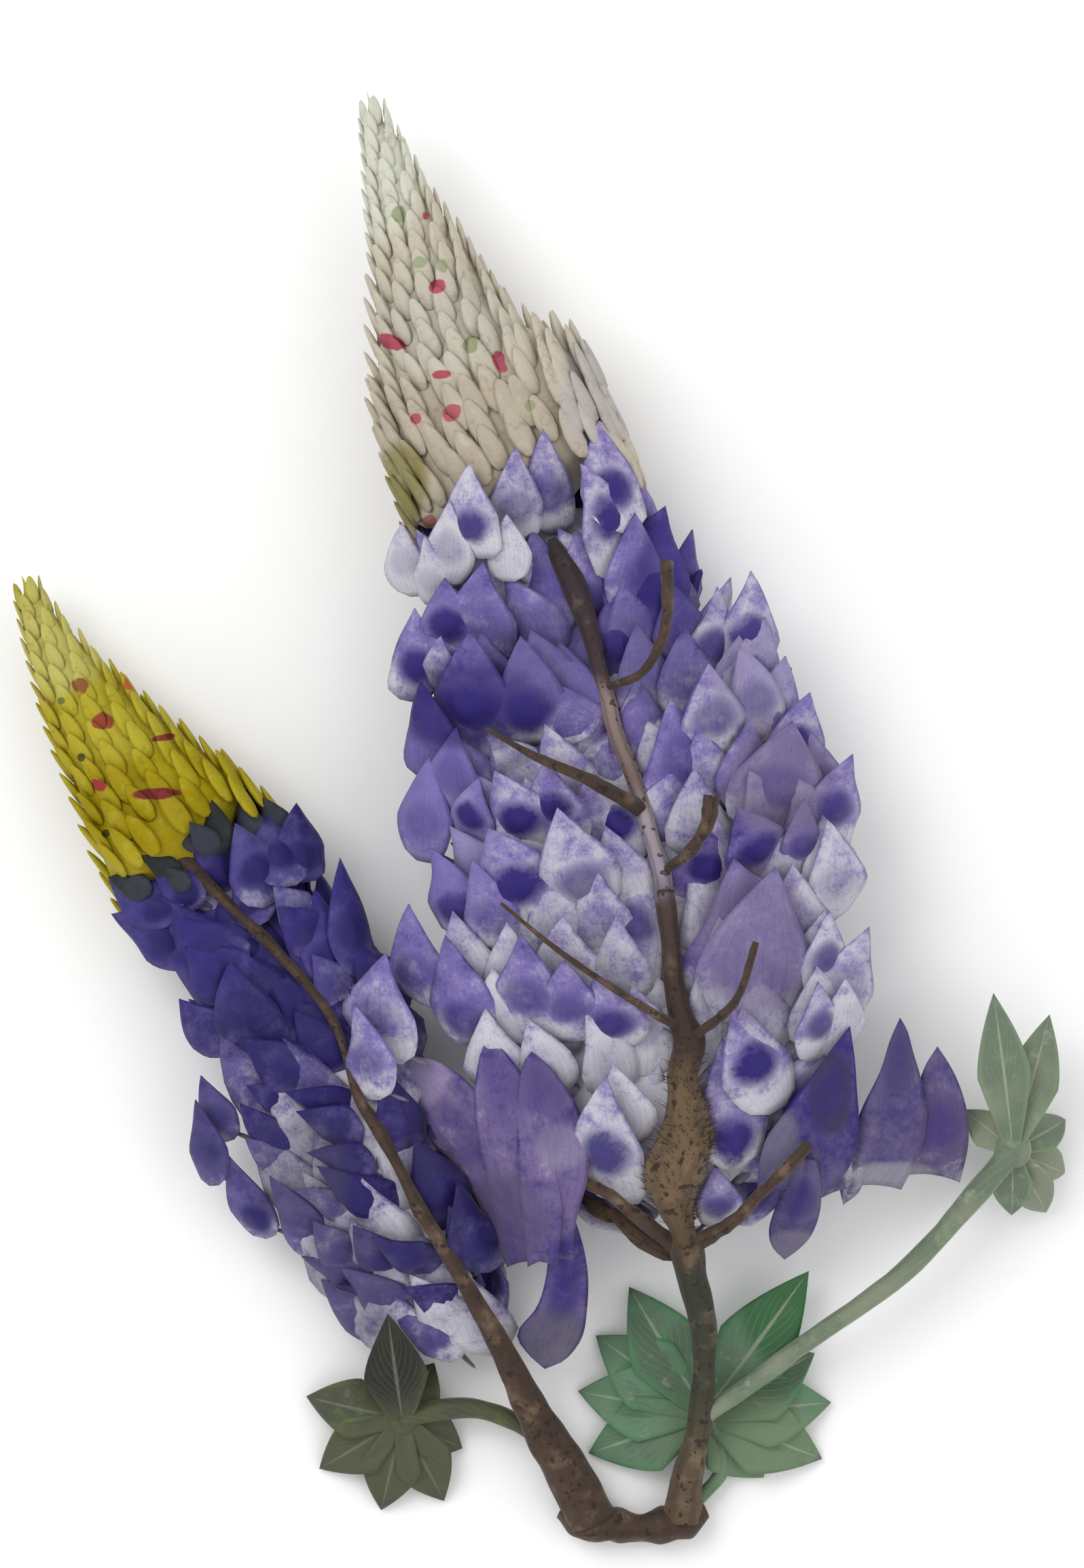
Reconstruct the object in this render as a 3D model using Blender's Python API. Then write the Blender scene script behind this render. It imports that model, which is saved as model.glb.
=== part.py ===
"""Lupin plant: two flower spikes and three palmate leaves on stems from one crown, cut and laid on a surface.

x runs across the plant, y from the crown towards the tips of the spikes, z up from the surface.
The design is in millimetres; each finished node is moved to the part's origin and brought to metres.
"""

import math
import random

import bmesh
import bpy
import numpy as np
from mathutils import Matrix, Vector
from mathutils.bvhtree import BVHTree

MM = 0.001
ORIGIN = Vector((-1.05, 148.85, 0.0))  # the middle of the plant's outline, on the surface
GAP = 0.35  # clearance between neighbouring nodes
BLADE = 0.9  # thickness of a petal or leaflet at its midrib
PRESS = 0.2  # height at which a blade's middle layer is pressed against the surface
HEART = (0.64, 0.46)  # a head's dense heart, as a share of its reach across and in depth
FOOT = (0.54, 0.34)  # where florets start, inside that heart
TIP_HEART = (0.76, 0.76)
MAIN_DROP = 3.5  # how far each heart lies below its axis, behind the stem
SIDE_DROP = 1.5
SEED = 11

# Spike axes, as rows of y, x, z, and the reach of the head from its axis: left, right, front, back.
MAIN_AXIS = [
    (50, 31.5, 25), (70, 30, 26.5), (88, 31.8, 27.5), (103, 31.2, 28), (121, 27.8, 28), (136, 26, 28),
    (151, 22.5, 27.5), (161, 18.8, 27), (179, 13.5, 26.5), (196, 8.3, 26), (211, 2, 26), (226, -5, 26),
    (243, -14.5, 26), (263, -24, 25), (283, -31.5, 24), (300, -36.5, 22.5), (312, -39.3, 21.5),
]
MAIN_REACH = [
    (50, 14, 14, 8, 14), (66, 34, 26, 15, 24), (80, 44, 32, 19, 26.5), (95, 49, 36.5, 21, 27.5),
    (117, 53, 42.5, 22, 28), (128, 54, 41, 22, 28), (139, 51, 41, 22, 28), (151, 51.5, 46, 22, 27.5),
    (162, 46.5, 50.5, 22, 27), (173, 45, 45.5, 21, 26), (184, 46, 41.5, 21, 25), (196, 38, 37, 21, 24.5),
    (207, 36.5, 30, 21, 23.5), (218, 31, 25.5, 21, 22.5), (230, 28, 26.5, 20, 22), (240, 25.5, 28, 19, 20),
    (247, 23.5, 24, 17.5, 18), (253, 21, 17, 16, 16.5), (263, 15.8, 14.5, 13.5, 14), (274, 10.5, 12, 10.5, 10.5),
    (286, 7, 8.2, 7.5, 7.5), (297, 4.2, 5.6, 4.8, 4.8), (312, 1.5, 1.5, 1.5, 1.5),
]
SIDE_AXIS = [
    (38, -15, 15), (56, -24, 17), (72, -31.5, 18), (90, -39.5, 18), (106, -49, 18), (122, -62, 18),
    (138, -75, 18), (150, -84, 18), (162, -93, 17.5), (176, -102.5, 16.5), (190, -110.5, 15), (205, -116.5, 13.5),
]
SIDE_REACH = [
    (38, 24, 9, 9, 14), (56, 33, 12, 12, 16.5), (72, 35, 14, 13, 17.5), (90, 32, 16, 14, 18),
    (106, 27, 19, 15, 18), (122, 25, 24, 16, 18), (136, 22, 23, 16, 17.5), (148, 19.5, 20.5, 15, 16),
    (162, 14, 15, 12.5, 12.5), (176, 9.5, 10.5, 9, 9), (190, 5.2, 5.6, 5, 5), (205, 1.8, 1.8, 1.8, 1.8),
]

# Stems, as x, y, z and radius.
MAIN_STEM = [
    (31.2, -7, 5.6, 4.6), (32, 0, 7, 4.3), (34.2, 16, 11.5, 3.9), (35.6, 31, 17, 3.8),
    (33.3, 46, 24, 4.1), (31, 56, 28, 4.4), (30, 67, 31.5, 5.9), (30.2, 75, 33.5, 6.4), (31.4, 85, 35.5, 4.6),
    (31.8, 93, 36.2, 3.8), (31.2, 103, 37, 4.2), (28.6, 114, 37.4, 2.9), (27, 128, 37.4, 2.6),
    (25.6, 140, 37, 2.5), (22.3, 151, 36.4, 2.1), (18.6, 161.5, 36, 2), (13.5, 179, 35.6, 2.2),
    (8.3, 196, 35.2, 2.5), (4.6, 205, 35, 2.3), (2.2, 211, 35, 1.2),
]
SIDE_STEM = [
    (11, -7, 5.6, 5.2), (7, 1, 7, 5.2), (-4, 21, 12.5, 4), (-13.5, 37, 17.5, 3.3), (-23, 54, 21.5, 2.8),
    (-32, 72, 24.5, 2.4), (-40.5, 88, 25.5, 2.2), (-47, 103, 25.5, 2), (-62.5, 121.5, 25.5, 1.9),
    (-75.5, 135.5, 25.5, 2), (-84, 144, 25, 1.1),
]
CROWN = [
    (0.5, -3.6, 4.2, 2.4), (5, -6, 5, 4.6), (12.5, -7.4, 5, 5.6), (21, -9, 4.6, 4.8), (29, -8, 5, 5.4),
    (36, -6, 4.8, 4.4), (41.5, -3.2, 4.2, 2.2),
]

# Flower branches of the main stem: x and y of each point, then the radius at both ends.
BRANCHES = [
    ([(13.4, 178.7), (21, 181.5), (25.5, 188.3), (27, 196), (26.9, 206)], 1.0, 1.5),
    ([(21.6, 152), (10.5, 158.3), (-1.5, 163.5), (-12.6, 169.7)], 2.1, 0.8),
    ([(26.3, 138.5), (31.5, 142.5), (35.3, 148.5), (36.8, 155)], 1.0, 1.9),
    ([(30.8, 103.8), (21, 109.5), (4.7, 120.3), (-9.2, 131.6)], 1.5, 0.8),
    ([(31.5, 101.3), (39, 107.3), (42.8, 112.5), (46.2, 123.2)], 1.5, 0.9),
]
LOW_LEFT_BRANCH = [(30, 55, 27.5, 2.0), (21, 62.3, 32, 1.5), (13, 68.3, 33, 1.4), (6, 70.5, 31, 1.3), (0.5, 70.5, 28, 1.2)]
LOW_RIGHT_BRANCH = [(31.5, 55, 27.5, 2.2), (41.3, 60.8, 29, 1.7), (48, 66.5, 28, 1.6), (54, 71, 26, 1.5)]

BRACTS = [((29.5, 53, 27), (12.5, 64.5, 24), 3.4), ((16, 61, 24.6), (7, 67, 22), 2.0)]

# Large single petals: base point, tip point, half width.
BIG_PETALS = [((38, 103, 29), (46.5, 139, 47), 11.5)]
LOW_LEFT_HEART = (-2.5, 68, 26.5)
LOW_LEFT_PETALS = [
    ((-30, 95.5, 27), 11), ((-14, 103, 36), 12.5), ((-0.5, 100, 39), 11), ((8, 90, 34), 8.5), ((-6, 23, 9), 7.5),
]
LOW_RIGHT_HEART = (57, 72, 25)
LOW_RIGHT_PETALS = [
    ((66.5, 104, 36), 10), ((79, 106.5, 32), 11), ((89, 99.5, 24), 11), ((94, 84, 17), 9.5), ((89, 68, 12), 8.5),
    ((54, 52, 12), 7),
]

# Leaves: the middle, the petiole's points, and each leaflet's direction, length and the height of its tip.
LEAVES = {
    "leaf_left": {
        "middle": (-31.5, 15.8, 6.0),
        "petiole": [(0.6, 9.8, 5.5, 1.9), (-6, 15, 7.2, 2.0), (-15, 18.2, 8.2, 2.2), (-24, 17.6, 7.4, 2.4), (-31.5, 15.8, 6, 2.6)],
        "leaflets": [
            (99, 22.5, 3), (168, 22, 2), (212, 22, 1), (257, 21.5, 1), (296, 21, 1), (60, 14, 3), (332, 15, 1.5),
        ],
        "half_width": 7.2,
    },
    "leaf_centre": {
        "middle": (36, 17, 2.6),
        "petiole": [(34.5, -2.5, 5, 1.5), (39.8, 3.5, 3.6, 1.7), (39.5, 11, 3, 1.9), (36, 17, 2.6, 2.1)],
        "leaflets": [
            (121, 32.5, 2), (145, 29.5, 1), (171, 28.5, 1), (200, 27.5, 1), (54, 39.5, 9), (28, 28, 3), (4, 28.5, 1.5),
            (338, 28.5, 1), (312, 20, 1),
        ],
        "half_width": 7.4,
    },
    "leaf_right": {
        "middle": (104, 76.5, 19),
        "petiole": [
            (35.5, 16.5, 11.5, 1.9), (46, 24, 13, 2.0), (58, 33, 14, 2.1), (80, 49, 14.5, 2.2), (96, 66.5, 17, 2.6),
            (104, 76.5, 19, 2.8),
        ],
        "leaflets": [(97, 35, 19), (74, 31, 14), (140, 13.5, 15), (272, 15, 8), (300, 17, 3), (25, 14, 4), (335, 14, 2)],
        "half_width": 6.0,
    },
}


def clear_scene():
    for obj in list(bpy.data.objects):
        bpy.data.objects.remove(obj)


def material(name, color, roughness):
    made = bpy.data.materials.new(name)
    made.use_nodes = True
    shader = made.node_tree.nodes["Principled BSDF"]
    shader.inputs["Base Color"].default_value = (*color, 1.0)
    shader.inputs["Roughness"].default_value = roughness
    shader.inputs["Metallic"].default_value = 0.0
    return made


def column(rows, index, y):
    """A table's column, read between its rows at height y."""
    return float(np.interp(y, [row[0] for row in rows], [row[index] for row in rows]))


def axis_point(axis, y):
    return Vector((column(axis, 1, y), y, column(axis, 2, y)))


def axis_frame(axis, y):
    """Right and front directions across a spike's axis."""
    along = (axis_point(axis, y + 4) - axis_point(axis, y - 4)).normalized()
    right = along.cross(Vector((0, 0, 1))).normalized()
    return right, right.cross(along)


def reach_offset(axis, reach, y, angle, share=(1, 1)):
    """From the axis to the head's outer surface, or a share of it, at an angle from its right side."""
    right, front = axis_frame(axis, y)
    across = column(reach, 2 if math.cos(angle) > 0 else 1, y)
    deep = column(reach, 3 if math.sin(angle) > 0 else 4, y)
    return right * math.cos(angle) * across * share[0] + front * math.sin(angle) * deep * share[1]


def smooth_route(points, steps):
    """A Catmull-Rom curve through the points, all their values eased alike."""
    rows = [np.array(p, float) for p in points]
    rows = [2 * rows[0] - rows[1], *rows, 2 * rows[-1] - rows[-2]]
    made = []
    for a, b, c, d in zip(rows, rows[1:], rows[2:], rows[3:]):
        for t in np.arange(steps) / steps:
            made.append(
                0.5 * (2 * b + (c - a) * t + (2 * a - 5 * b + 4 * c - d) * t**2 + (3 * b - a - 3 * c + d) * t**3)
            )
    return [*made, rows[-2]]


def tube(route, steps, resolution):
    """A round stem along a route of x, y, z and radius."""
    curve = bpy.data.curves.new("tube", "CURVE")
    curve.dimensions = "3D"
    curve.bevel_depth = 1.0
    curve.bevel_resolution = resolution
    curve.use_fill_caps = True
    points = smooth_route(route, steps)
    spline = curve.splines.new("POLY")
    spline.points.add(len(points) - 1)
    for point, (x, y, z, radius) in zip(spline.points, points):
        point.co = (x, y, z, 1)
        point.radius = radius
    obj = bpy.data.objects.new("tube", curve)
    bpy.context.scene.collection.objects.link(obj)
    made = bmesh.new()
    made.from_mesh(evaluated_mesh(obj))
    bpy.data.objects.remove(obj)
    bmesh.ops.remove_doubles(made, verts=made.verts, dist=0.001)
    bmesh.ops.recalc_face_normals(made, faces=made.faces)
    return made


def evaluated_mesh(obj):
    graph = bpy.context.evaluated_depsgraph_get()
    return bpy.data.meshes.new_from_object(obj.evaluated_get(graph), depsgraph=graph)


def petal_width(v):
    """Half width along a pointed petal or leaflet, as a share of its widest."""
    return max(0.0, 0.22 + 1.45 * math.sin(math.pi * min(v * 1.02, 1)) ** 0.9 * (1 - 0.42 * v) - 0.22 * v) * 0.82


def blade(base, tip, facing, half_width, bulge=0.12, cup=0.25, rows=3, thick=BLADE):
    """A pointed blade from base to tip: thickest at its midrib, sharp along its rim, bent clear of the surface."""
    base, tip = Vector(base), Vector(tip)
    length = (tip - base).length
    along = (tip - base) / length
    across = along.cross(Vector(facing)).normalized()
    normal = across.cross(along)
    made = bmesh.new()
    bmesh.ops.create_grid(made, x_segments=2, y_segments=rows, size=1)
    for vert in made.verts:
        u, v = vert.co.x, (vert.co.y + 1) / 2
        wide = u * half_width * (petal_width(v) if v < 0.999 else 0)
        lift = bulge * length * 4 * v * (1 - v) - cup * half_width * u * u * math.sin(math.pi * v)
        vert.co = base + along * length * v + across * wide + normal * lift
        vert.co.z = max(vert.co.z, PRESS)
    inner = [v for v in made.verts if not v.is_boundary]
    made.normal_update()
    raised = {v.index: v.normal * thick / 2 for v in inner}
    copied = bmesh.ops.duplicate(made, geom=list(made.verts) + list(made.edges) + list(made.faces))
    back = {old: new for old, new in copied["vert_map"].items() if isinstance(old, bmesh.types.BMVert)}
    for vert in inner:
        shift = raised[vert.index].copy()
        vert.co += shift
        back[vert].co -= shift
    bmesh.ops.reverse_faces(made, faces=[f for f in copied["geom"] if isinstance(f, bmesh.types.BMFace)])
    bmesh.ops.remove_doubles(made, verts=made.verts, dist=0.002)
    bmesh.ops.dissolve_degenerate(made, dist=0.001, edges=made.edges)
    bmesh.ops.triangulate(made, faces=made.faces)
    bmesh.ops.recalc_face_normals(made, faces=made.faces)
    return made


def spindle(middle, along, facing, length, width, depth, sides=4):
    """A closed pod or bud, pointed at both ends."""
    along = Vector(along).normalized()
    across = along.cross(Vector(facing)).normalized()
    turn = Matrix((across, across.cross(along), along)).transposed().to_4x4()
    made = bmesh.new()
    bmesh.ops.create_uvsphere(made, u_segments=sides, v_segments=3, radius=1)
    size = Matrix.Diagonal((width / 2, depth / 2, length / 2, 1))
    bmesh.ops.transform(made, matrix=Matrix.Translation(Vector(middle)) @ turn @ size, verts=made.verts)
    for vert in made.verts:
        vert.co.z = max(vert.co.z, 0.1)
    bmesh.ops.recalc_face_normals(made, faces=made.faces)
    return made


def floret(axis, reach, drop, y, angle, length, keel_shown, rng):
    """One pea flower: a pointed banner petal, and the keel pod in front of it where it faces the viewer."""
    foot = reach_offset(axis, reach, y, angle, FOOT) - Vector((0, 0, drop))
    out = reach_offset(axis, reach, y + length * 0.7, angle)
    rise = math.sqrt(max(length**2 - (out.length - foot.length) ** 2, (0.8 * length) ** 2))
    base = axis_point(axis, y) + foot
    tip = axis_point(axis, y + rise) + reach_offset(axis, reach, y + rise, angle)
    tip += (tip - base) * rng.uniform(-0.08, 0.06)
    up = 1 if math.sin(angle) > -0.2 else -1
    facing = out.normalized() * 0.8 + Vector((rng.uniform(-0.2, 0.2), rng.uniform(-0.1, 0.1), 0.75 * up))
    width = length * rng.uniform(0.27, 0.32)
    front = math.sin(angle) > -0.1
    banner = blade(base, tip, facing, width, bulge=0.1, rows=3 if front else 2)
    if not front or not keel_shown:
        return [banner]
    along = (tip - base).normalized()
    square = (facing - along * facing.dot(along)).normalized()
    middle = base + (tip - base) * 0.47 + square * length * 0.16
    keel = spindle(middle, along * 1.0 + square * 0.25, facing, length * 0.52, length * 0.17, length * 0.22)
    return [banner, keel]


def whorls(low, high, spacing, lengths, counts, window, rng):
    """Places of a spike's florets: rings round the axis, each turned half a place against the last."""
    places = []
    count = int(round((high - low) / spacing)) + 1
    for k in range(count):
        y = low + (high - low) * k / (count - 1)
        length = column(lengths, 1, y)
        around = int(round(column(counts, 1, y)))
        for j in range(around):
            angle = math.radians(360 / around * (j + 0.5 * (k % 2)) - 90 + rng.uniform(-5, 5))
            side = math.degrees(math.asin(max(-1, min(1, math.sin(angle)))))
            hidden = side < -25 and j % 2
            if side > 90 - window or hidden:
                continue
            places.append((y + rng.uniform(-1.8, 1.8), angle, length * rng.uniform(0.92, 1.1)))
    return places


def tree_of(solid, margin):
    return BVHTree.FromBMesh(solid, epsilon=margin)


def clear_of(solids, others):
    """True where none of the solids comes within the gap of any of the others."""
    trees = [tree_of(s, GAP) for s in solids]
    return not any(t.overlap(o) for t in trees for o in others)


def temporary(solid, collection):
    mesh = bpy.data.meshes.new("piece")
    solid.to_mesh(mesh)
    obj = bpy.data.objects.new("piece", mesh)
    collection.objects.link(obj)
    return obj


def combine(body, others, operation, solver="EXACT"):
    """The Boolean of one solid with many, applied: its largest body, as a bmesh. Scraps are dropped."""
    holder = bpy.data.collections.new("operands")
    bpy.context.scene.collection.children.link(holder)
    for solid in others:
        temporary(solid, holder)
    obj = temporary(body, bpy.context.scene.collection)
    modifier = obj.modifiers.new("join", "BOOLEAN")
    modifier.operand_type = "COLLECTION"
    modifier.collection = holder
    modifier.operation = operation
    modifier.solver = solver
    made = bmesh.new()
    made.from_mesh(evaluated_mesh(obj))
    for leftover in [obj, *holder.objects]:
        bpy.data.objects.remove(leftover)
    bpy.data.collections.remove(holder)
    bmesh.ops.triangulate(made, faces=made.faces)
    keep_largest(made)
    return made


def keep_largest(solid):
    left = set(solid.verts)
    bodies = []
    while left:
        body, edge = set(), [left.pop()]
        while edge:
            vert = edge.pop()
            body.add(vert)
            near = {e.other_vert(vert) for e in vert.link_edges} & left
            left -= near
            edge.extend(near)
        bodies.append(body)
    bodies.sort(key=len)
    for body in bodies[:-1]:
        bmesh.ops.delete(solid, geom=list(body), context="VERTS")


def surface_block():
    """What lies below the surface: cut from a head, it leaves the flat spots that the head rests on."""
    made = bmesh.new()
    bmesh.ops.create_cube(made, size=1)
    size = Matrix.Diagonal((500, 700, 40, 1))
    bmesh.ops.transform(made, matrix=Matrix.Translation((0, 150, -20)) @ size, verts=made.verts)
    return made


def fatter(route, by):
    return [(*row[:3], row[3] + by) for row in route]


def core(axis, reach, low, high, share, drop, rings, ends=(0.72, 0.72)):
    """The dense heart of a head: a ring of points at each height, bridged into one closed body."""
    made = bmesh.new()
    loops = []
    for k in range(rings):
        y = low + (high - low) * k / (rings - 1)
        ring = bmesh.ops.create_circle(made, cap_ends=False, segments=8, radius=1)["verts"]
        for j, vert in enumerate(ring):
            angle = 2 * math.pi * (j + 0.5) / 8
            end = {0: ends[0], rings - 1: ends[1]}.get(k, 1)
            out = reach_offset(axis, reach, y, angle, share) * end
            vert.co = axis_point(axis, y) + out - Vector((0, 0, drop))
        loops.append(sorted({e for v in ring for e in v.link_edges}, key=lambda e: e.index))
    for lower, upper in zip(loops, loops[1:]):
        bmesh.ops.bridge_loops(made, edges=lower + upper)
    bmesh.ops.holes_fill(made, edges=loops[0] + loops[-1], sides=8)
    bmesh.ops.triangulate(made, faces=made.faces)
    bmesh.ops.recalc_face_normals(made, faces=made.faces)
    return made


def branch_route(points, start, end):
    """A flower branch: from the main stem up onto the front of the head."""
    route = []
    for k, (x, y) in enumerate(points):
        centre = axis_point(MAIN_AXIS, y)
        across = column(MAIN_REACH, 2 if x > centre.x else 1, y)
        share = min(0.95, abs(x - centre.x) / across)
        front = centre.z + column(MAIN_REACH, 3, y) * math.sqrt(1 - share**2) + 2.6
        on_stem = np.interp(y, [p[1] for p in MAIN_STEM], [p[2] for p in MAIN_STEM])
        eased = min(1, abs(x - centre.x) / 13) if k else 0
        part = k / (len(points) - 1)
        route.append((x, y, on_stem + (front - on_stem) * eased, start + (end - start) * part))
    return route


def stem_solids(extra=0.0):
    """The crown, both stems and the flower branches, as overlapping solids."""
    routes = [MAIN_STEM, SIDE_STEM, CROWN, LOW_LEFT_BRANCH, LOW_RIGHT_BRANCH]
    routes += [branch_route(*branch) for branch in BRANCHES]
    sides = [2, 2, 2] + [1] * (len(routes) - 3)
    return [tube(fatter(route, extra), 2, count) for route, count in zip(routes, sides)]


def bracts(extra=0.0):
    """The two dry brown bracts at the lowest branch."""
    return [
        blade(base, tip, (0.2, 0.3, 1), width + extra, bulge=0.08, thick=BLADE + 2 * extra)
        for base, tip, width in BRACTS
    ]


def build_leaf(plan, blockers, holes):
    middle = Vector(plan["middle"])
    petiole = tube(plan["petiole"], 2, 1)
    leaflets = []
    for degrees, length, tip_z in plan["leaflets"]:
        turn = math.radians(degrees)
        out = Vector((math.cos(turn), math.sin(turn), 0))
        tip = Vector((middle.x, middle.y, 0)) + out * length + Vector((0, 0, tip_z))
        width = plan["half_width"] * min(1, 0.4 + length / 40)
        made = blade(middle - out * 1.5 - Vector((0, 0, 0.3)), tip, (0, 0, 1), width, bulge=0.1, cup=0.15)
        if clear_of([made], blockers):
            leaflets.append(made)
    whole = combine(petiole, leaflets + [spindle(middle, (0, 1, 0), (0, 0, 1), 8, 8, 3.4, 6)], "UNION")
    return combine(whole, holes, "DIFFERENCE")


def build_bloom(heart, petals, holes):
    """A bloom of large petals round a receptacle that sits on its branch's end."""
    heart = Vector(heart)
    receptacle = spindle(heart, (0.3, 1, 0), (0, 0, 1), 11, 8, 8, 6)
    blades = []
    for tip, half_width in petals:
        blades.append(blade(heart, tip, (0, 0, 1), half_width, bulge=0.09, cup=0.2))
    whole = combine(receptacle, blades, "UNION")
    return combine(whole, holes, "DIFFERENCE")


def build_florets(axis, reach, drop, heart, places, holes, blockers, rng, extras=()):
    """The dense heart with its florets fused to it, clear of the stems and of the neighbours."""
    solids = list(extras)
    for y, angle, length in places:
        petals = floret(axis, reach, drop, y, angle, length, axis is MAIN_AXIS, rng)
        if clear_of(petals, blockers):
            solids.extend(petals)
    whole = combine(heart, solids, "UNION", "MANIFOLD")  # EXACT leaves open edges among so many petals
    return combine(whole, holes + [surface_block()], "DIFFERENCE", "MANIFOLD")


def build_buds(axis, reach, low, high, rows, around, heart, holes, blockers, rng):
    """The closed buds of a spike's tip, one ring above another, each pointing to the tip."""
    solids = []
    for k in range(rows):
        part = k / (rows - 1)
        y = low + (high - low) * (1 - (1 - part) ** 1.15)
        size = column(reach, 2, y)
        count = max(4, int(round(around * size / column(reach, 2, low))))
        for j in range(count):
            angle = 2 * math.pi * (j + 0.5 * (k % 2)) / count + rng.uniform(-0.08, 0.08)
            out = reach_offset(axis, reach, y, angle)
            length = 6 + 0.42 * size
            centre = axis_point(axis, y) + out * 0.86
            along = (axis_point(axis, y + 8) - axis_point(axis, y)).normalized() + out.normalized() * 0.28
            bud = spindle(centre, along, out, length * rng.uniform(0.95, 1.1), length * 0.62, length * 0.36)
            if clear_of([bud], blockers):
                solids.append(bud)
    whole = combine(heart, solids, "UNION")
    return combine(whole, holes + [surface_block()], "DIFFERENCE")


def finish(name, solid, look):
    """The node: its solid brought to metres at the part's origin."""
    bmesh.ops.transform(solid, matrix=Matrix.Scale(MM, 4) @ Matrix.Translation(-ORIGIN), verts=solid.verts)
    mesh = bpy.data.meshes.new(name)
    solid.to_mesh(mesh)
    mesh.materials.append(look)
    mesh.shade_smooth()
    mesh.set_sharp_from_angle(angle=math.radians(40))
    obj = bpy.data.objects.new(name, mesh)
    bpy.context.scene.collection.objects.link(obj)
    return obj


def main():
    clear_scene()
    rng = random.Random(SEED)
    brown = material("stem", (0.10, 0.07, 0.05), 0.7)
    violet = material("violet_petal", (0.16, 0.12, 0.38), 0.6)
    mauve = material("mauve_petal", (0.17, 0.13, 0.27), 0.6)
    cream = material("cream_bud", (0.50, 0.47, 0.38), 0.65)
    yellow = material("yellow_bud", (0.42, 0.36, 0.06), 0.65)
    green = material("leaf", (0.09, 0.16, 0.09), 0.6)

    first, *rest = stem_solids()
    stems = combine(first, rest + bracts(), "UNION")
    stem_tree = tree_of(stems, GAP)
    holes = stem_solids(GAP) + bracts(GAP)

    leaves = {name: build_leaf(plan, [stem_tree], holes) for name, plan in LEAVES.items()}
    leaf_trees = [tree_of(leaf, GAP) for leaf in leaves.values()]

    low_left = build_bloom(LOW_LEFT_HEART, LOW_LEFT_PETALS, holes)
    low_right = build_bloom(LOW_RIGHT_HEART, LOW_RIGHT_PETALS, holes)
    bloom_trees = [tree_of(low_left, GAP), tree_of(low_right, GAP)]

    side_heart = core(SIDE_AXIS, SIDE_REACH, 44, 143, HEART, SIDE_DROP, 8)
    side_places = whorls(38, 132, 12.0, [(38, 21), (90, 20), (132, 17)], [(38, 9), (132, 9)], 12, rng)
    blockers = [*leaf_trees, *bloom_trees]
    side_florets = build_florets(
        SIDE_AXIS, SIDE_REACH, SIDE_DROP, side_heart, side_places, holes, blockers, rng
    )
    side_tree = tree_of(side_florets, GAP)

    main_heart = core(MAIN_AXIS, MAIN_REACH, 60, 219, HEART, MAIN_DROP, 9)
    main_places = whorls(
        60, 211, 15.0, [(60, 25), (120, 25), (170, 23), (211, 19)], [(60, 10), (120, 11), (211, 11)], 12, rng
    )
    extras = [blade(base, tip, (0, 0, 1), width, bulge=0.08) for base, tip, width in BIG_PETALS]
    blockers = [*leaf_trees, *bloom_trees, side_tree]
    main_florets = build_florets(
        MAIN_AXIS, MAIN_REACH, MAIN_DROP, main_heart, main_places, holes, blockers, rng, extras
    )
    main_tree = tree_of(main_florets, GAP)

    main_tip = core(MAIN_AXIS, MAIN_REACH, 219.4, 311, TIP_HEART, 0.0, 8, (0.6, 0.9))
    main_buds = build_buds(MAIN_AXIS, MAIN_REACH, 221, 305, 9, 13, main_tip, holes, [main_tree], rng)
    side_tip = core(SIDE_AXIS, SIDE_REACH, 143.4, 204, TIP_HEART, 0.0, 6, (0.7, 0.9))
    side_buds = build_buds(SIDE_AXIS, SIDE_REACH, 145.5, 200, 7, 10, side_tip, holes, [side_tree], rng)

    finish("stems", combine(stems, [surface_block()], "DIFFERENCE"), brown)
    for name, leaf in leaves.items():
        finish(name, combine(leaf, [surface_block()], "DIFFERENCE"), green)
    finish("low_left_bloom", combine(low_left, [surface_block()], "DIFFERENCE"), mauve)
    finish("low_right_bloom", combine(low_right, [surface_block()], "DIFFERENCE"), mauve)
    finish("side_florets", side_florets, violet)
    finish("main_florets", main_florets, violet)
    finish("side_buds", side_buds, yellow)
    finish("main_buds", main_buds, cream)


main()
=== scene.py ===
"""A lupin plant with two flower spikes, laid on a pale surface: its petals, buds, stems and leaves.

Lengths in the tables are in millimetres, in the plant's own layout: x across, y from the crown to the
tips, z up.
"""

import math
import random

import bmesh
import bpy
import numpy as np
from mathutils import Matrix, Vector
from mathutils import noise as ripple_field


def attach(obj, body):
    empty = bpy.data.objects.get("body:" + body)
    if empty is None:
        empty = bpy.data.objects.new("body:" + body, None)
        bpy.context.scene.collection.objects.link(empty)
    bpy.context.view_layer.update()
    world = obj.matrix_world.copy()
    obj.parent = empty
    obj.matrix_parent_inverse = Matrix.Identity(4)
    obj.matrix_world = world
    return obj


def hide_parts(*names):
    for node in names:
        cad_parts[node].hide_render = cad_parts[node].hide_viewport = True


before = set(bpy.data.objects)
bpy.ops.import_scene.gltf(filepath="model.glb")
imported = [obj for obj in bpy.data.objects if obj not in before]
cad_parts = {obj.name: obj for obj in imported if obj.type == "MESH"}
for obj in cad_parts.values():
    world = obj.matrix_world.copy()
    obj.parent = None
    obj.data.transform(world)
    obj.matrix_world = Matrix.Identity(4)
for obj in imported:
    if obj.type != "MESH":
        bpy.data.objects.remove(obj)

bl_info = {
    "name": "Lupin Plant",
    "version": (1, 0, 0),
    "blender": (4, 5, 0),
    "location": "View3D > Sidebar > Lupin",
    "description": "Builds a lupin plant's petals, buds, stems and leaves around its solid frame",
    "category": "Add Mesh",
}

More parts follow.
